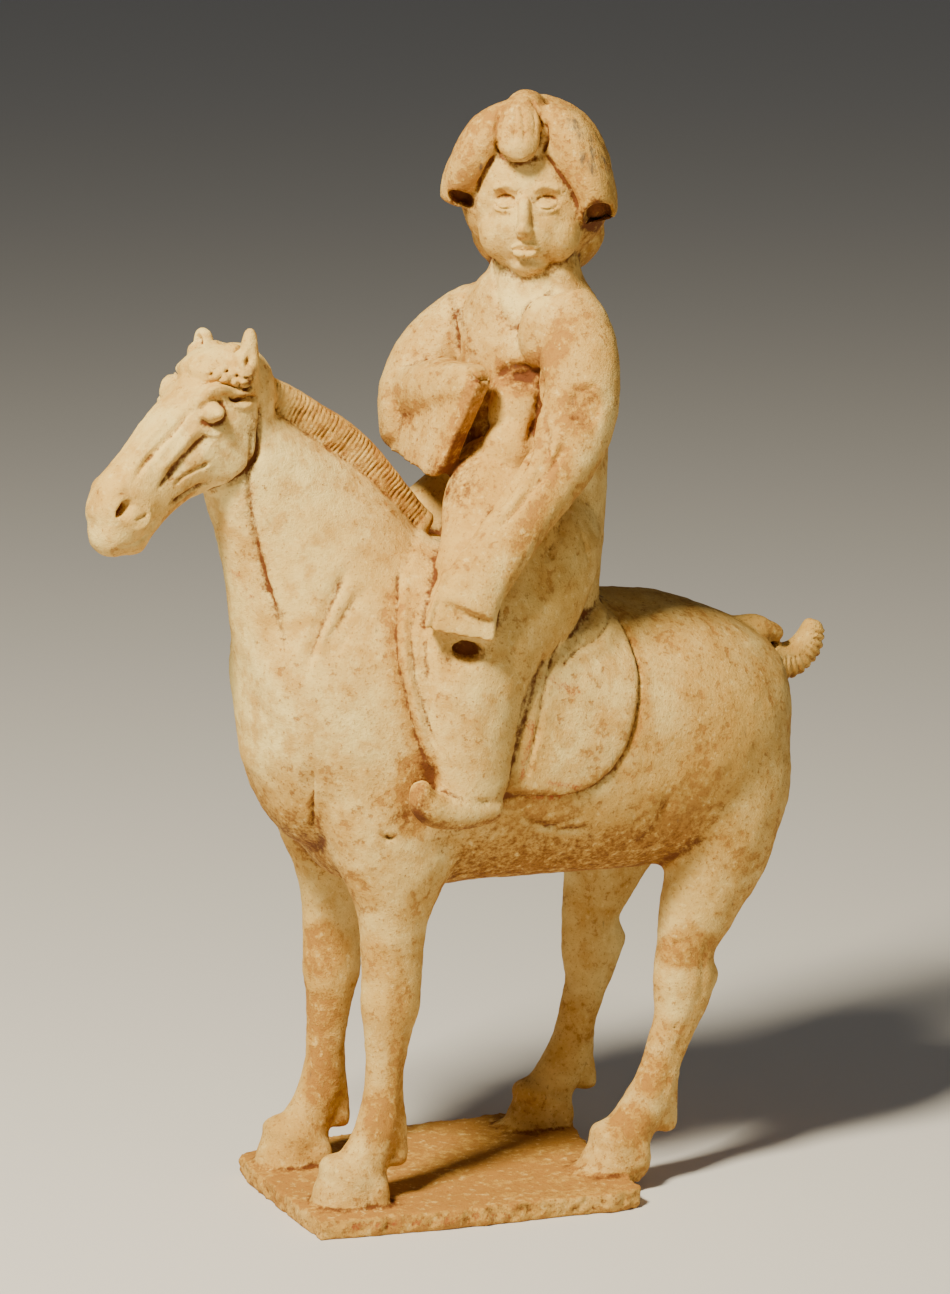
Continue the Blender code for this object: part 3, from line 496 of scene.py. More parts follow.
class Skin:
    """The points of a skin, its normals, and a tree to draw on it."""

    def __init__(self, mesh):
        self.mesh = mesh
        self.points = np.empty(len(mesh.vertices) * 3)
        mesh.vertices.foreach_get("co", self.points)
        self.points = self.points.reshape(-1, 3)
        self.refresh()

    def refresh(self):
        """Put the moved points back and take the normals again."""
        self.mesh.vertices.foreach_set("co", self.points.ravel())
        self.mesh.update()
        self.normals = np.empty(len(self.mesh.vertices) * 3)
        self.mesh.vertex_normals.foreach_get("vector", self.normals)
        self.normals = self.normals.reshape(-1, 3)
        self.tree = None

    def drawn(self, frame, view, path):
        """A path of (across, up) points as seen from this side of the frame, laid on the skin."""
        right, out = (Vector(d) for d in frame.facing(view))
        if self.tree is None:
            work = bmesh.new()
            work.from_mesh(self.mesh)
            self.tree = BVHTree.FromBMesh(work)
            work.free()
        laid = []
        for across, up in path:
            start = frame.origin + right * across + Vector((0, 0, up)) + out * 400
            hit = self.tree.ray_cast(start, -out)[0]
            if hit is not None:
                laid.append(hit)
        return np.array(laid), np.array(out)

    def press(self, frame, view, path, width, depth, ends=0.25):
        """A groove along a path, or a ridge where depth is below zero. It fades out toward its ends."""
        line, out = self.drawn(frame, view, spline(path, 8))
        if len(line) < 2:
            return
        near = np.flatnonzero(boxed(self.points, line, width) & (self.normals @ out > -0.3))
        gap, place = nearest_on(self.points[near], line)
        place /= len(line) - 1
        strength = fade(1 - gap / width) * fade(np.minimum(place, 1 - place) / ends + 0.15)
        self.points[near] -= self.normals[near] * (depth * strength)[:, None]

    def inside(self, frame, view, outline, edge, beyond=0):
        """How far each point lies inside an outline seen from this side: 0 outside, 1 inside its edge."""
        loop = spline(list(outline) + [outline[0]], 6)
        right, out = (np.array(d) for d in frame.facing(view))
        rel = self.points - np.array(frame.origin)
        flat = np.stack([rel @ right, rel[:, 2]], 1)
        seen = (self.normals @ out > 0.15) & (rel @ out > beyond)
        near = np.flatnonzero(seen & boxed(flat, loop, edge))
        p = flat[near]
        within = np.zeros(len(near), bool)
        for a, b in zip(loop, loop[1:]):
            spans = (a[1] > p[:, 1]) != (b[1] > p[:, 1])
            cross = a[0] + (p[:, 1] - a[1]) / (b[1] - a[1] or 1e-9) * (b[0] - a[0])
            within ^= spans & (p[:, 0] < cross)
        gap = nearest_on(p, loop)[0]
        signed = np.where(within, gap, -gap)
        strength = np.zeros(len(self.points))
        strength[near] = fade(signed / edge + 0.5) * fade((self.normals[near] @ out - 0.15) / 0.25)
        return strength

    def raise_patch(self, frame, view, outline, height, edge):
        """The part of the skin inside an outline, lifted by height with an edge this wide."""
        self.points += self.normals * (height * self.inside(frame, view, outline, edge))[:, None]

    def dent(self, frame, view, at, size, depth, edge=1.0, turn=0, tilt=0):
        """A hollow pushed straight in as seen from this side, or a bump where depth is below zero."""
        centre = self.drawn(frame, view, [at])[0]
        if not len(centre):
            return
        rise, twist = math.radians(tilt), math.radians(turn)
        right, level = (np.array(d) for d in frame.facing(view))
        out = level * math.cos(rise) + (0, 0, math.sin(rise))
        up = np.cross(right, -out)
        rel = self.points - centre[0]
        u, v, w = rel @ right, rel @ up, rel @ out
        u, v = u * math.cos(twist) + v * math.sin(twist), v * math.cos(twist) - u * math.sin(twist)
        far = np.sqrt((u / size[0]) ** 2 + (v / size[1]) ** 2)
        seen = (far < 1) & (np.abs(w) < 1.2 * max(size)) & (self.normals @ out > -0.25)
        self.points[seen] -= out * (depth * fade((1 - far[seen]) / edge))[:, None]

    def raise_tuft(self, height, edge):
        """The horse's forelock, on both sides of its forehead."""
        near = self.inside(HORSE_HEAD, 55, TUFT, edge)
        far = self.inside(HORSE_HEAD, -55, [(-a, z) for a, z in TUFT], edge)
        self.points += self.normals * (height * np.maximum(near, far))[:, None]
        self.refresh()


# From clay to a closed skin

def skinned(add_lumps, base=None, body_softening=0, softening=SOFTENING):
    """New lumps of clay and the skin they go on as one closed skin, in units."""
    clay = bmesh.new()
    add_lumps(clay)
    bmesh.ops.recalc_face_normals(clay, faces=clay.faces)
    if base:
        clay.from_mesh(base)
    mesh = bpy.data.meshes.new("clay")
    clay.to_mesh(mesh)
    clay.free()
    remesh_only = evaluated(mesh, (("REMESH", {"mode": "VOXEL", "voxel_size": VOXEL}),))
    steps = [("SMOOTH", {"factor": 0.5, "iterations": softening})]
    if body_softening:
        steps.append(("SMOOTH", {"factor": 0.5, "iterations": body_softening, "vertex_group": "body"}))
    return evaluated(remesh_only, steps, body_weights)


def body_weights(body):
    """Weights of the horse's trunk and neck, which fade out down its legs."""
    group = body.vertex_groups.new(name="body")
    steps = 8
    heights = np.empty(len(body.data.vertices) * 3)
    body.data.vertices.foreach_get("co", heights)
    weights = np.round(fade((heights.reshape(-1, 3)[:, 2] - 95) / 60) * steps).astype(int)
    for level in range(1, steps + 1):
        group.add(np.flatnonzero(weights == level).tolist(), level / steps, "REPLACE")


def evaluated(mesh, modifiers, prepare=None):
    """A new mesh: this one with modifiers put on, each a type and its settings."""
    body = placed("work", mesh)
    if prepare:
        prepare(body)
    for kind, settings in modifiers:
        modifier = body.modifiers.new(kind.lower(), kind)
        for name, value in settings.items():
            setattr(modifier, name, value)
    graph = bpy.context.evaluated_depsgraph_get()
    made = bpy.data.meshes.new_from_object(body.evaluated_get(graph))
    bpy.data.objects.remove(body)
    return made


def thinned(skin, triangles):
    """The skin with about this many triangles."""
    skin.calc_loop_triangles()
    return evaluated(skin, (("DECIMATE", {"ratio": triangles / len(skin.loop_triangles)}),))


def press_both_sides(skin, *groups):
    """Cuts drawn on the horse's left side, made there and mirrored on its right: groups of frame and cuts."""
    for view, way in ((90, 1), (-90, -1)):
        for place, cuts in groups:
            for path, width, depth in cuts:
                skin.press(place, view, [(way * y, z) for y, z in path], width, depth)


def add_horse_marks(skin):
    """The saddle cloth and its cantle, and the larger cuts of the horse's head and body."""
    for view, way in ((90, 1), (-90, -1)):
        skin.raise_patch(WHOLE, view, [(way * y, z) for y, z in CLOTH], 2.4, 2.5)
    skin.refresh()
    press_both_sides(skin, (WHOLE, ((CANTLE, 4.5, -1.2),) + HORSE_CUTS), (HORSE_HEAD, HORSE_HEAD_CUTS))
    skin.refresh()


def add_lady_marks(skin):
    """The neckline, the seams and the long folds of her robe, and the sockets of her eyes."""
    for view, path, width, depth in ROBE_CUTS:
        skin.press(TORSO, view, path, width, depth)
    for way in (1, -1):
        skin.press(LADY_HEAD, 0, [(way * x, z) for x, z in ((4, 3), (9, 5), (15, 3))], 3, 0.8)
    skin.refresh()


# The slab's uneven edge, anticlockwise about its middle: shares of its width and length
SLAB_SHAPE = (
    (0.41, -0.48), (0.44, -0.28), (0.47, -0.03), (0.48, 0.22), (0.475, 0.44), (0.17, 0.46), (-0.10, 0.49),
    (-0.33, 0.53), (-0.50, 0.51), (-0.52, 0.31), (-0.525, 0.09), (-0.49, -0.17), (-0.45, -0.35),
    (-0.385, -0.46), (0.03, -0.48),
)


def add_slab(clay):
    """The flat slab, its edge broken unevenly."""
    rim = [(x * SLAB_WIDTH / UNIT, y * SLAB_LENGTH / UNIT) for x, y in SLAB_SHAPE]
    loop = spline(rim + rim[:1], 14)[:-1]
    depth = SLAB_THICKNESS / UNIT
    low, high = [], []
    for i, (x, y) in enumerate(loop):
        jag = 1 + 0.016 * noise.noise(Vector((x / 7, y / 7, 0)))
        jag += 0.008 * noise.noise(Vector((x / 2.5, y / 2.5, 9)))
        low.append(clay.verts.new((x * jag, y * jag, -depth)))
        high.append(clay.verts.new((x * jag, y * jag, 0)))
    clay.faces.new(low[::-1])
    clay.faces.new(high)
    for i in range(len(loop)):
        j = (i + 1) % len(loop)
        clay.faces.new((low[i], low[j], high[j], high[i]))


# Finer marks

# Where the finest marks lie: the horse's head and mane, her head, and the tail
FINE_BOXES = (
    ((-70, -200, 320), (80, -95, 445)),
    ((-16, -110, 318), (16, -2, 420)),
    ((-50, 0, 440), (70, 110, 545)),
    ((-16, 160, 225), (16, 215, 275)),
)


def refine(skin, boxes):
    """Split the faces inside these boxes once, so that they can carry finer marks."""
    work = bmesh.new()
    work.from_mesh(skin.mesh)
    centres = np.array([f.calc_center_median() for f in work.faces])
    inside = np.zeros(len(centres), bool)
    for low, high in boxes:
        inside |= np.all((centres > low) & (centres < high), axis=1)
    work.faces.ensure_lookup_table()
    edges = list({e for i in np.flatnonzero(inside) for e in work.faces[i].edges})
    bmesh.ops.subdivide_edges(work, edges=edges, cuts=1, use_grid_fill=True)
    made = bpy.data.meshes.new("fine")
    work.to_mesh(made)
    work.free()
    return Skin(made)


def beside(skin, rows, reach):
    """The points about a limb, their distances from its middle line and how far along they lie."""
    line = spline([row[:3] for row in rows], 8)
    near = np.flatnonzero(boxed(skin.points, line, reach))
    gap, place = nearest_on(skin.points[near], line)
    lengths = np.cumsum([0, *np.linalg.norm(np.diff(line, axis=0), axis=1)])
    return near, gap, np.interp(place, range(len(line)), lengths)


def add_mane_cuts(skin):
    """The comb cuts across the clipped mane, and the step where it meets the neck."""
    near, gap, along = beside(skin, MANE, 16)
    size = np.interp(along, (0, 120), (8.5, 10.5))
    mask = fade((size + 1.5 - gap) / 2.0) * fade(along / 6) * fade((124 - along) / 8)
    wobble = uneven(skin.points[near], ((1, 7.0),))
    sides = fade((np.abs(skin.normals[near, 0]) - 0.35) / 0.3)
    comb = (0.5 + 0.5 * np.cos((along + 0.9 * wobble) * 2 * math.pi / MANE_SPACING)) ** 2.2
    cuts = comb * sides * (0.8 + wobble)
    skin.points[near] -= skin.normals[near] * (mask * (cuts * 0.8 - 0.6))[:, None]
    skin.refresh()


def add_tail_ribs(skin):
    """The ribs of plaited hair on the outer side of the tail."""
    near, gap, along = beside(skin, TAIL, 14)
    middle = np.array((0, 190, 262))
    outer = np.einsum("ij,ij->i", skin.normals[near], skin.points[near] - middle) > 4
    mask = fade((13 - gap) / 3) * fade((along - 16) / 8) * fade((58 - along) / 4) * outer
    cuts = (0.5 + 0.5 * np.cos(along * 2 * math.pi / RIB_SPACING)) ** 1.5
    skin.points[near] -= skin.normals[near] * (mask * (cuts - 0.3))[:, None]
    skin.refresh()


# Two lines that are cut and also hold earth: down the neck, and below the forelock
NECK_LINE = ((-104, 389), (-105, 364), (-103, 341), (-97, 312), (-92, 294))
TUFT_LINE = ((-12, 413), (-13, 408), (-15, 403), (-20, 398))
# Cuts and ridges on the horse's head: backward and up as seen from its side, then width and depth
HORSE_FACE = (
    (((-34, 386), (-40, 379), (-46, 373), (-53, 365), (-61, 357)), 2.4, 1.2),
    (((-38, 388), (-45, 381), (-52, 373), (-60, 365)), 3, -1.1),
    (((-40, 396), (-49, 386), (-61, 374.5), (-72, 363.5)), 2.4, 1.7),
    (((-43, 400), (-53, 389), (-65, 378), (-75, 367)), 3, -0.9),
    (((-33, 370), (-39, 367), (-45, 364), (-51, 359)), 1.8, 1.2),
    (((-31, 360), (-38, 357.5), (-44, 354), (-51, 351)), 2, 1.3),
    (((-80, 334), (-74, 333), (-68, 335), (-62, 339)), 1.8, 0.7),
    (((-66, 352), (-65, 346), (-68, 342), (-73, 341)), 2.4, -1.1),
    (((-73, 345), (-68, 347), (-63, 350)), 1.6, 1.2),
    (((-5, 396), (-6, 384), (-7, 372), (-12, 365), (-19, 358), (-26, 354)), 2.6, 2.2),
    (((-38, 402), (-31, 405), (-24, 404), (-17, 402), (-9, 404)), 3, -2.2),
    (((-36, 406), (-29, 408.5), (-22, 407), (-15, 405)), 1.8, 1.5),
    (((-24, 401), (-19, 399), (-13, 400), (-7, 399)), 1.8, 1.9),
    (((-22, 397), (-16, 395.5), (-10, 397)), 2.4, -1.5),
    (TUFT_LINE, 2.4, 2.2),
    (((-38, 393), (-37, 397.5), (-33, 400), (-28.5, 399), (-26, 395)), 2.4, 1.7),
    (((-38, 393), (-36.5, 389.5), (-32.5, 388), (-28, 389.5), (-26, 394)), 2.6, 2),
    (((-41.5, 391), (-38.5, 386), (-32, 383.5), (-26, 385)), 2, -0.9),
)
# Cuts on the rest of the horse and its cloth, from the same side
HORSE_SIDE = (
    (NECK_LINE, 2.4, 1.2),
    (((-61, 315), (-71, 297), (-86, 266)), 3, 1.2),
    (((-56, 306), (-66, 292), (-79, 276)), 2.6, 1),
    (((-59, 292), (-66, 283), (-72, 273)), 2.2, 0.8),
    (((-81, 222), (-78, 203), (-75, 185)), 1.8, 1.2),
    (((32, 184), (42, 186), (52, 190)), 2.2, 1),
    (((-33, 317), (-37, 305), (-42, 288), (-43, 272), (-40, 254), (-36, 237), (-30, 222)), 1.8, 1.4),
    (((-30, 318), (-34, 303), (-38.5, 288), (-39.5, 272), (-37, 256), (-33, 240), (-28, 226)), 1.6, -1),
    (((-27, 310), (-32, 300), (-35, 287), (-36, 272), (-34, 257), (-30, 241), (-26, 228)), 1.8, 1.2),
    (((76, 288), (82, 279), (83, 266), (80.5, 247), (75, 229), (66, 213.5), (54, 204.5), (38, 201.5),
      (22, 204)), 2, 1.5),
    (((77, 288), (71, 281), (63, 276), (53, 273), (44, 268), (37, 262)), 2.2, 1.4),
    (((72, 290), (66, 284), (58, 279.5), (49, 277), (41, 272)), 3.2, -1),
    (((44, 284), (36, 270), (30, 257), (26, 241), (21, 222), (18, 208)), 2, 1.4),
    (((28, 266), (20, 245), (14, 228), (10, 211)), 2.4, 1.2),
)
# Cuts in her robe and hair: frame, side, then path, width and depth of each
LADY_CUTS = (
    (TORSO, 0, (
        (((-41, 438), (-35, 426), (-30, 413), (-28, 402)), 1.8, 1.2),
        (((2, 407), (12, 404), (22, 406), (30, 409)), 1.8, 1.2),
        (((8, 400), (18, 396), (26, 390)), 1.8, 1),
    )),
    (TORSO, 60, (
        (((-16, 387), (-18, 373), (-25, 362), (-36, 352)), 3.2, 1.8),
        (((-7, 378), (-22, 362), (-37, 347), (-49, 336)), 3.4, 2),
        (((-9, 384), (-20, 368), (-32, 355), (-44, 342)), 3.2, -1),
    )),
    (LADY_HEAD, 0, (
        (((-12, 26.5), (-3, 23.5), (6, 26)), 3, 2.8),
        (((-11, 48), (-11.5, 40), (-11, 33)), 1.2, 0.6),
        (((-5.5, 52), (-4, 43), (-4.5, 32)), 1.2, 0.8),
        (((3, 50), (5.5, 42), (5, 34)), 1.2, 0.6),
        (((-13, 50), (-14.5, 40), (-14, 30), (-11.5, 25)), 1.8, 2.2),
        (((1, 54), (7, 46), (9.5, 36), (8, 27)), 1.8, 3),
        (((-8, 51), (-8.5, 43), (-9, 34)), 1.2, 0.6),
        (((-3, 52), (0, 43), (1, 33)), 1.2, 0.6),
        (((-14, 28), (-19, 20), (-23, 13), (-26, 6)), 2.2, 2),
        (((9, 28), (15, 19), (21, 9), (25, -2)), 2.2, 2),
    )),
    (TORSO, 75, ((((-22, 402), (-16, 401), (-9, 404)), 1.4, 1.2),)),
    (TORSO, 90, ((((-20, 330), (-18, 322), (-17, 314)), 2.4, 1),)),
)
# Her face, plain and calm. Bumps and dents first: across, up, half width and half height, depth, edge
FACE_FORMS = (
    ((10.5, 5.5), (8.5, 5.5), 1.9, 1),
    ((10.3, 2.4), (6.6, 4.4), -2.3, 1),
    ((15, -9), (12, 12), -1, 1),
    ((3.2, -9.3), (2.3, 2), -1.4, 1),
    ((5, -27.5), (6, 5), -0.9, 1),
)
# Then cuts and ridges: across and up, width, depth
FACE_CUTS = (
    (((3.6, 9), (9, 12), (16.5, 9.5)), 2.6, -1.1),
    (((5, 5.2), (10, 6.8), (15.6, 4.8)), 1.3, 0.7),
    (((4.8, 2.6), (7.5, 1.1), (10.5, 0.5), (13.5, 1.2), (16, 3)), 1.3, 1.3),
    (((6.5, -1.6), (10.5, -2.8), (14.5, -1.4)), 1.5, 0.5),
    (((0, -17), (2, -16.2), (4.2, -17.1), (6.8, -18.6)), 1.8, -1.1),
    (((0, -18.9), (2.4, -18.5), (7, -18.9)), 1.2, 1.3),
    (((0, -21.2), (2.6, -21), (5.4, -20)), 2.2, -1.4),
    (((0, -24.6), (4.4, -23.8)), 2.4, 0.9),
)
NOSE_RIDGE = ((0, 8), (0, 3), (0, -3), (0, -8))
# Dents and bumps: frame, side, place, half width and half height, depth, edge, turn, tilt
DENTS = (
    (HORSE_HEAD, 60, (0, 418), (3.2, 7), 1.3, 0.9, -8, 0),
    (HORSE_HEAD, 60, (-1, 417), (1.9, 3.0), 2.4, 0.7, -12, 0),
    (HORSE_HEAD, 20, (-22, 420), (3.6, 8), 3.0, 0.7, 8, 0),
    (HORSE_HEAD, 90, (-35, 369), (1.8, 1.8), 1.6, 0.8, 0, 0),
    (WHOLE, 90, (112, 72), (1.6, 0.8), 1.6, 0.7, 10, 0),
    (WHOLE, 90, (-47, 186), (4, 1.3), 2.2, 0.7, -25, 0),
    (TORSO, 39, (-7, 405), (13, 6), 2.4, 0.4, 6, 0),
    (TORSO, 39, (4, 397), (4, 11), 1.8, 0.6, -8, 0),
    (TORSO, 60, (0, 392), (9, 10), 1.3, 0.3, 0, 0),
    (WHOLE, 90, (112, 115), (2.5, 1.2), 1.2, 0.6, 20, 0),
)
# Lumps of curl along the lower edge of the forelock: across and up, from its left front
CURLS = ((-17, 413), (-13, 411.5), (-10, 414), (-8, 410), (-5, 412), (-4, 408), (-1, 411), (0, 408))


def add_fine_cuts(skin):
    press_both_sides(skin, (HORSE_HEAD, HORSE_FACE), (WHOLE, HORSE_SIDE))
    for place, view, cuts in LADY_CUTS:
        for path, width, depth in cuts:
            skin.press(place, view, path, width, depth)
    add_face(skin)
    skin.refresh()


def add_face(skin):
    for way in (1, -1):
        for (x, z), size, depth, edge in FACE_FORMS:
            skin.dent(LADY_HEAD, 0, (way * x, z), size, depth, edge)
    skin.press(LADY_HEAD, 0, NOSE_RIDGE, 4.4, -2.3, ends=0.4)
    skin.dent(LADY_HEAD, 0, (0, -8.2), (3.9, 3.6), -2.3)
    skin.refresh()
    for way in (1, -1):
        for path, width, depth in FACE_CUTS:
            skin.press(LADY_HEAD, 0, [(way * x, z) for x, z in path], width, depth, ends=0.12)
    skin.refresh()


def add_forelock(skin):
    """The tuft of mane between the ears, with curls and pits along its lower edge."""
    skin.raise_tuft(3.0, 4.0)
    for side, way in ((55, 1), (-55, -1)):
        for i, (across, up) in enumerate(CURLS):
            height = (1.9 if i % 2 else 1.3) * (1 if way > 0 else 0.4)
            skin.dent(HORSE_HEAD, side, (way * across, up), (2.8, 2.5), -height)
            skin.dent(HORSE_HEAD, side, (way * (across + 1.8), up - 1.2), (1.3, 1.2), 2.2, 0.7)
    skin.refresh()


def add_fine_dents(skin):
    add_forelock(skin)
    for place, view, at, size, depth, edge, turn, tilt in HORSE_HOLLOWS + HOLLOWS + DENTS:
        skin.dent(place, view, at, size, depth, edge, turn, tilt)
    skin.refresh()


def uneven(points, waves):
    """Noise at each point, summed over waves of a height and a length."""
    return np.array([sum(high * noise.noise(Vector(p) / long) for high, long in waves) for p in points])


def roughened(skin):
    """The slight unevenness of clay smoothed by hand."""
    shift = uneven(skin.points, ((0.60, 26.0), (0.45, 9.0), (0.24, 3.4)))
    edge = np.flatnonzero((np.abs(skin.normals[:, 2]) < 0.85) & (skin.points[:, 2] < 0.5))
    shift[edge] += uneven(skin.points[edge], ((1.3, 5.5), (0.8, 2.4)))
    shift *= fade((skin.points[:, 2] + 9.5) / 3)
    face = nearest_on(skin.points, np.array([LADY_HEAD.at(0, -30, z) for z in (10, -26)]))[0]
    shift *= 0.35 + 0.65 * fade((face - 16) / 12)
    skin.points += skin.normals * shift[:, None]
    skin.refresh()


# Stains, wear and painted shade, kept on the points of the mesh

# Two of these channels also hold painted shade: earth and wear carry it as well as real earth and wear.
STAINS_AND_SHADE = ("earth_and_shade", "red", "soot", "worn")


def hollows(skin, rounds):
    """How far each point lies below the smoothed skin around it, in units."""
    points = skin.points
    edges = np.empty(len(skin.mesh.edges) * 2, np.int64)
    skin.mesh.edges.foreach_get("vertices", edges)
    a, b = edges.reshape(-1, 2).T
    size = len(points)
    count = np.bincount(np.concatenate((a, b)), minlength=size)[:, None]
    soft = points.copy()
    for _ in range(rounds):
        total = [np.bincount(a, soft[b, k], size) + np.bincount(b, soft[a, k], size) for k in range(3)]
        soft = 0.5 * soft + 0.5 * np.stack(total, 1) / count
    return np.einsum("ij,ij->i", soft - points, skin.normals)


def brushed(skin, place, view, path, width):
    """How strongly a stroke along a path marks each point, from 0 to 1."""
    line, out = skin.drawn(place, view, spline(path, 6))
    marks = np.zeros(len(skin.points))
    if len(line) < 2:
        return marks
    near = np.flatnonzero(boxed(skin.points, line, width) & (skin.normals @ out > -0.4))
    gap = nearest_on(skin.points[near], line)[0]
    marks[near] = fade(1 - gap / width)
    return marks


# Strokes: kind, frame, side, then path, width and strength of each
STROKES = (
    ("earth_and_shade", WHOLE, 90, (
        (NECK_LINE, 6, 0.45),
        (((-32, 228), (-28, 218), (-40, 205), (-42, 193)), 8, 0.4),
        # Painted shade under the left cuff, around the hollow beneath it.
        (((-24, 277), (-13, 276), (-6, 278)), 7, 0.4),
    )),
    ("earth_and_shade", HORSE_HEAD, 90, (
        (((-33, 386), (-39, 379), (-44, 373), (-50, 366), (-57, 360)), 4, 0.3),
        (((-31, 359), (-38, 357), (-44, 354), (-51, 351)), 4, 0.4),
        (TUFT_LINE, 6, 0.5),
        (((-5, 396), (-7, 372), (-12, 365), (-26, 354)), 5, 0.35),
        (((-100, 334), (-84, 327), (-64, 326)), 8, 0.5),
        (((-26, 398), (-26, 392), (-30, 388.5), (-37, 389.5)), 3, 0.45),
    )),
    ("earth_and_shade", LADY_HEAD, 0, (
        # Painted shade under the edge of the top lock.
        (((-13, 25), (-3, 22), (7, 25)), 3, 0.6),
        (((-24, -29), (-9, -34), (4, -33), (21, -26)), 6, 0.35),
        (((9, 28), (15, 19), (21, 9), (26, -4), (27, -18)), 5, 0.3),
        (((-14, 28), (-19, 20), (-23, 13), (-27, 2)), 4, 0.3),
    )),
    ("red", WHOLE, 90, (
        (((22, 203), (33, 201), (45, 202)), 3, 0.6),
        (((-109, 314), (-105, 305), (-101, 296)), 8, 0.42),
        (((31, 261), (39, 257), (46, 252)), 7, 0.5),
        (((30, 209), (38, 208), (47, 206)), 4, 0.6),
        (((22, 240), (20, 227), (17, 214)), 5, 0.6),
        (((-70, -4), (-40, -5), (10, -5)), 5, 0.45),
    )),
    ("earth_and_shade", TORSO, 39, ((((-41, 436), (-34, 424), (-30, 410)), 5, 0.35),)),
    ("earth_and_shade", TORSO, 0, ((((-12, 358), (-8, 340), (-16, 326)), 14, 0.5),)),
    ("worn", WHOLE, 90, (
        (((-104, 400), (-106, 330), (-96, 280), (-86, 250)), 12, 0.2),
        (((-40, 300), (-43, 272), (-36, 237), (-28, 215)), 9, 0.4),
        (((84, 285), (84, 255), (70, 220), (40, 200)), 6, 0.35),
    )),
    ("worn", TORSO, 60, (
        (((-10, 372), (-25, 352), (-40, 332)), 10, 0.3),
        (((-24, 350), (-36, 334), (-44, 315)), 7, 0.3),
    )),
    ("red", HORSE_HEAD, 90, ((((-76, 354), (-80, 348)), 5, 0.75),)),
)
# Patches: kind, frame, side, then outline, edge and strength of each
PATCHES = (
    ("earth_and_shade", TORSO, 39, (
        (((-30, 407), (-23, 405), (-20, 399), (-29, 371), (-41, 357), (-46, 360), (-42, 370)), 3, 0.3),
        (((-18, 409), (-7, 411), (3, 416), (5, 408), (-2, 397), (-15, 399)), 3, 0.32),
        (((-38, 380), (-30, 378), (-27, 356), (-36, 344), (-46, 352)), 5, 0.35),
    )),
    ("worn", TORSO, 39, (
        (((-30, 409), (-22, 406), (-18, 399), (-27, 371), (-41, 355), (-49, 360), (-43, 375)), 3, 0.5),
        (((-19, 410), (-7, 413), (4, 418), (7, 408), (-2, 395), (-16, 397)), 3, 0.5),
        (((6, 424), (12, 435), (20, 434), (19, 422), (13, 413), (7, 414)), 4, 0.4),
    )),
    ("worn", TORSO, 60, (
        (((-8, 400), (-2, 404), (8, 403), (8, 391), (1, 378), (-8, 380), (-11, 390)), 4, 0.4),
    )),
    ("earth_and_shade", TORSO, 60, ((((-6, 399), (0, 402), (7, 402), (5, 391), (0, 382), (-6, 384)), 4, 0.22),)),
    ("worn", WHOLE, 67, (
        (((-18, 225), (-5, 228), (3, 220), (-1, 208), (-6, 188), (-17, 190)), 4, 0.5),
        (((-30, 137), (-21, 128), (-25, 112), (-36, 116), (-38, 128)), 4, 0.3),
        (((-18, 130), (-13, 110), (-14, 76), (-15, 45), (-19, 22), (-24, 42), (-22, 77),
          (-23, 108)), 4, 0.34),
        (((-66, 120), (-53, 125), (-43, 110), (-52, 97), (-66, 99)), 4, 0.4),
        (((-66, 86), (-55, 89), (-47, 78), (-54, 66), (-66, 67)), 4, 0.34),
        (((-64, 60), (-56, 61), (-51, 43), (-59, 30), (-66, 36)), 4, 0.4),
        (((-33, 54), (-24, 56), (-22, 42), (-29, 30), (-34, 40)), 4, 0.34),
        (((108, 112), (127, 127), (138, 113), (128, 103), (112, 104)), 5, 0.42),
        (((100, 52), (113, 56), (118, 45), (109, 37), (101, 42)), 4, 0.4),
        (((86, 28), (103, 34), (110, 22), (102, 14), (88, 18)), 5, 0.38),
    )),
    ("earth_and_shade", WHOLE, 67, ((((-16, 223), (-6, 226), (0, 219), (-4, 208), (-8, 192), (-15, 193)), 4, 0.25),)),
    ("soot", LADY_HEAD, 45, (
        (((-5, 47), (3, 44), (10, 30), (16, 14), (10, 8), (2, 17), (-5, 31)), 9, 0.62),
    )),
    ("soot", LADY_HEAD, 0, (
        (((-24, 22), (-18, 24), (-13, 17), (-20, 13)), 5, 0.45),
        (((-9, 40), (-2, 42), (3, 33), (-6, 30)), 6, 0.35),
    )),
    ("earth_and_shade", LADY_HEAD, 9, (
        # Painted shade in and below the hollows of her hair rolls.
        (((23, 2), (30, 6), (37, 1), (37, -10), (30, -14), (24, -9)), 4, 0.8),
        (((-41, 8), (-35, 11), (-28, 5), (-29, -3), (-36, -5), (-41, 0)), 4, 0.4),
    )),
)


# Wear about a line, or less wear below zero: how much, how far from the line, over what edge
WEAR = (
    (0.35, 15, 5, spline([row[:3] for row in MANE], 4)),
    (-0.4, 34, 14, [LADY_HEAD.at(0, -20, z) for z in (8, -24)]),
    (-0.25, 46, 16, [HORSE_HEAD.at(0, y, z) for y, z in ((-10, 395), (-75, 345))]),
    (-0.18, 60, 25, [(0, -95, z) for z in (340, 290, 240)]),
)


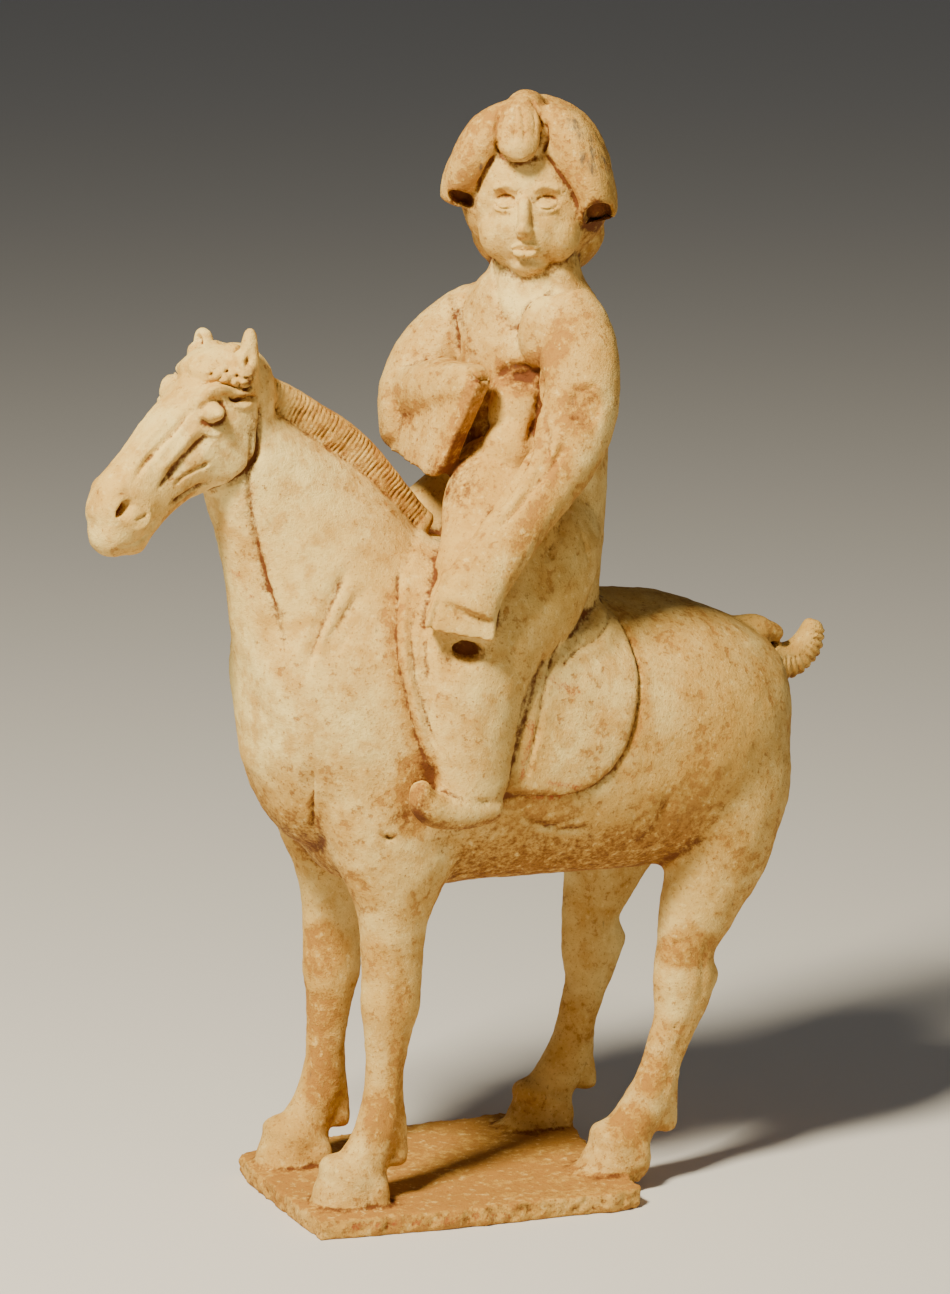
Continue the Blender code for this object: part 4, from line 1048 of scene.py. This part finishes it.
def painted(skin):
    """Earth, red, soot and wear for each point, with painted shade on faces that look down and in a few
    hollows and undercuts.
    """
    points = skin.points
    y, z = points[:, 1], points[:, 2]
    up = skin.normals[:, 2]
    stains_and_shade = {name: np.zeros(len(points)) for name in STAINS_AND_SHADE}
    for kind, place, view, strokes in STROKES:
        for path, width, strength in strokes:
            stains_and_shade[kind] += strength * brushed(skin, place, view, path, width)
    for kind, place, view, patches in PATCHES:
        for outline, edge, strength in patches:
            stains_and_shade[kind] += strength * skin.inside(place, view, outline, edge, beyond=-60)
    hair = np.linalg.norm(points - np.array(LADY_HEAD.at(0, 10, 22)), axis=1)
    rim = (np.abs(up) < 0.75) & (z < 0.5)
    worn = stains_and_shade["worn"]
    worn += 0.42 + 0.30 * (z < 1.5) + 0.22 * (up > 0.8) * (z < 1) - 0.15 * rim
    worn += 0.10 * fade((z - 300) / 60) * (y > -20) + 0.12 * fade((y - 40) / 60) * (z > 150) * (z < 300)
    # Painted shade: faces that look down turn buff and ochre. Below a height of 110 the skin is also a little
    # more ochre toward the bottom.
    worn += 0.45 * fade((-up - 0.05) / 0.6) + 0.12 * fade((110 - z) / 60)
    worn += 0.20 * fade((52 - hair) / 10) * (z > 478)
    for amount, reach, edge, line in WEAR:
        worn += amount * fade((reach - nearest_on(points, np.array(line))[0]) / edge)
    earth_and_shade = stains_and_shade["earth_and_shade"]
    # Darker in narrow grooves and in broad hollows: how far each point lies below its smoothed skin.
    earth_and_shade += np.clip(hollows(skin, 12) * 0.6, 0, 0.42) + np.clip((hollows(skin, 60) - 0.5) / 5, 0, 0.4)
    # Painted shade under the belly: faces that look down between heights 140 and 250 are darkened. The slab's
    # edge takes a little earth.
    earth_and_shade += 0.14 * rim + 0.45 * fade((-up - 0.15) / 0.6) * (z > 140) * (z < 250)
    return {name: np.clip(values, 0, 2) for name, values in stains_and_shade.items()}


# Material

class Nodes:
    """Short names for the nodes of one material."""

    def __init__(self, material):
        self.tree = material.node_tree
        self.shader = self.tree.nodes["Principled BSDF"]
        self.place = self.tree.nodes.new("ShaderNodeTexCoord").outputs["Object"]

    def put(self, node, values):
        """Link or set the node's inputs, by name or number."""
        for name, value in values.items():
            if isinstance(value, bpy.types.NodeSocket):
                self.tree.links.new(value, node.inputs[name])
            else:
                node.inputs[name].default_value = value

    def new(self, kind, values, **settings):
        """A new node with these settings and inputs."""
        node = self.tree.nodes.new("ShaderNode" + kind)
        for name, value in settings.items():
            setattr(node, name, value)
        self.put(node, values)
        return node

    def noise(self, scale, detail, rough, stretch=None):
        place = self.place
        if stretch:
            place = self.new("Mapping", {"Vector": place, "Scale": stretch}).outputs["Vector"]
        values = {"Vector": place, "Scale": scale, "Detail": detail, "Roughness": rough}
        return self.new("TexNoise", values).outputs["Fac"]

    def step(self, value, low, high, floor=0.0, top=1.0):
        """The floor below low, the top above high, smooth between."""
        values = {"Value": value, "From Min": low, "From Max": high, "To Min": floor, "To Max": top}
        return self.new("MapRange", values, interpolation_type="SMOOTHSTEP").outputs["Result"]

    def times(self, value, factor):
        return self.new("Math", {0: value, 1: factor}, operation="MULTIPLY").outputs[0]

    def plus(self, a, b):
        return self.new("Math", {0: a, 1: b}, operation="ADD").outputs[0]

    def mix(self, share, a, b):
        """From colour a to colour b."""
        a, b = (c if isinstance(c, bpy.types.NodeSocket) else (*c, 1) for c in (a, b))
        return self.new("Mix", {0: share, 6: a, 7: b}, data_type="RGBA").outputs[2]

    def channel(self, name):
        return self.new("Attribute", {}, attribute_name=name).outputs["Fac"]


CREAM = (0.73, 0.48, 0.130)
PALE = (0.90, 0.71, 0.27)
BUFF = (0.55, 0.300, 0.060)
OCHRE = (0.40, 0.178, 0.034)
# The dark brown of earth, also used as painted shade.
EARTH_AND_SHADE = (0.15, 0.045, 0.009)
RED = (0.42, 0.07, 0.02)
SOOT = (0.09, 0.07, 0.055)


def slipped_pottery():
    """Ochre clay under cream slip rubbed through in places, darker in its hollows, with traces of paint and
    painted shade.
    """
    clay = bpy.data.materials.new("slipped pottery")
    clay.use_nodes = True
    n = Nodes(clay)
    wide = n.noise(13, 5, 0.6)
    middle = n.noise(40, 9, 0.68)
    blotch = n.noise(95, 7, 0.65)
    small = n.noise(230, 6, 0.64)
    fine = n.noise(640, 5, 0.62)
    grain = n.noise(1500, 3, 0.5)
    streak = n.noise(260, 5, 0.6, stretch=(1, 1, 0.25))
    earth_and_shade, red, soot, worn = (n.channel(name) for name in STAINS_AND_SHADE)
    # The wear channel also holds painted shade on faces that look down, which turns them buff and ochre
    # through tone, bare and flaked. The earth channel holds painted shade too.
    tone = n.plus(n.times(worn, 0.6), n.times(middle, 0.75))
    bare = n.plus(n.times(worn, 0.30), n.plus(n.times(middle, 0.8), small))
    flaked = n.step(bare, 1.12, 1.24)
    speckle = n.plus(fine, n.times(worn, 0.12))
    patchy = n.plus(n.times(n.plus(small, -0.5), 1.2), n.times(n.plus(fine, -0.5), 0.9))
    brushed_on = n.times(n.plus(streak, -0.5), 3.0)
    colour = n.mix(n.step(wide, 0.36, 0.64), CREAM, PALE)
    for share, tint in (
        (n.step(tone, 0.42, 0.90), BUFF),
        (n.step(blotch, 0.44, 0.66, 0.0, 0.7), BUFF),
        (n.times(flaked, 0.72), OCHRE),
        (n.step(speckle, 0.62, 0.74, 0.0, 0.7), OCHRE),
        (n.step(small, 0.28, 0.44, 0.5, 0.0), PALE),
        (n.step(n.plus(earth_and_shade, patchy), 0.12, 0.85), EARTH_AND_SHADE),
        (n.step(n.plus(red, patchy), 0.3, 0.9, 0.0, 0.8), RED),
        (n.step(n.plus(soot, brushed_on), 0.45, 1.0, 0.0, 0.8), SOOT),
    ):
        colour = n.mix(share, colour, tint)
    height = n.plus(n.times(small, 0.55), n.times(fine, 0.45))
    height = n.plus(n.plus(height, n.times(grain, 0.22)), n.times(flaked, -0.25))
    bump = n.new("Bump", {"Height": height, "Strength": 0.8, "Distance": 0.0013})
    n.put(n.shader, {
        "Base Color": colour,
        "Roughness": n.step(middle, 0.2, 0.8, 0.72, 0.92),
        "Specular IOR Level": 0.22,
        "Normal": bump.outputs["Normal"],
    })
    return clay


# The piece

def make_figure():
    body = skinned(add_horse_body, body_softening=BODY_SOFTENING)
    horse = skinned(add_horse_details, body)
    add_horse_marks(Skin(horse))
    rough = Skin(skinned(add_lady, horse, softening=ROBE_SOFTENING))
    add_lady_marks(rough)
    skin = refine(rough, FINE_BOXES)
    add_mane_cuts(skin)
    add_tail_ribs(skin)
    add_fine_cuts(skin)
    add_fine_dents(skin)
    roughened(skin)
    mesh = thinned(skin.mesh, FIGURE_TRIANGLES)
    done = Skin(mesh)
    stains_and_shade = painted(done)
    mesh.transform(Matrix.Translation((0, 0, SLAB_THICKNESS)) @ Matrix.Scale(UNIT, 4))
    for name, values in stains_and_shade.items():
        layer = mesh.attributes.new(name, "FLOAT", "POINT")
        layer.data.foreach_set("value", values.astype(np.float32))
    figure = placed("figurine", mesh)
    mesh.materials.clear()
    mesh.materials.append(slipped_pottery())
    mesh.shade_smooth()
    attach(figure, "root")
    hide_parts("equestrienne")


# Studio

# The photograph's angle: 67 degrees round from the horse's front towards its left, 11 degrees up
CAMERA_PLACE = (2.357, -0.9792, 0.7727)
CAMERA_AIM = (0.0077, 0.0180, 0.2766)
CAMERA_LENS = 146.8
# Name, place, width in metres, power in watts and colour of each lamp
LIGHTS = (
    ("key", (0.8, -1.2, 1.95), 0.4, 124, (1.0, 0.89, 0.68)),
    ("fill", (1.9, 0.6, 0.8), 1.2, 4, (1.0, 0.90, 0.76)),
)
LIGHT_AIM = (0, 0, 0.27)


def add_floor():
    mesh = bpy.data.meshes.new("floor")
    corners = [(x * 60.0, y * 60.0, 0) for x, y in ((-1, -1), (1, -1), (1, 1), (-1, 1))]
    mesh.from_pydata(corners, [], [(0, 1, 2, 3)])
    floor = placed("floor", mesh)
    pale = bpy.data.materials.new("pale floor")
    pale.use_nodes = True
    shader = pale.node_tree.nodes["Principled BSDF"]
    shader.inputs["Base Color"].default_value = (0.72, 0.71, 0.69, 1)
    shader.inputs["Roughness"].default_value = 0.85
    mesh.materials.append(pale)


def add_light(name, place, size, power, colour):
    lamp = bpy.data.lights.new(name, "AREA")
    lamp.size = size
    lamp.energy = power
    lamp.color = colour
    aimed(placed(name, lamp), place, LIGHT_AIM)


def aimed(thing, place, aim):
    """Put a lamp or camera at a place, turned towards its aim."""
    thing.location = place
    thing.rotation_euler = (Vector(aim) - thing.location).to_track_quat("-Z", "Y").to_euler()


def add_camera():
    lens = bpy.data.cameras.new("camera")
    lens.sensor_width = 36
    lens.lens = CAMERA_LENS
    camera = placed("camera", lens)
    aimed(camera, CAMERA_PLACE, CAMERA_AIM)
    bpy.context.scene.camera = camera


def add_studio():
    add_floor()
    for light in LIGHTS:
        add_light(*light)
    world = bpy.data.worlds.new("studio")
    world.use_nodes = True
    world.node_tree.nodes["Background"].inputs["Color"].default_value = (0.80, 0.80, 0.80, 1)
    world.node_tree.nodes["Background"].inputs["Strength"].default_value = 0.10
    bpy.context.scene.world = world


add_camera()
make_figure()
add_studio()
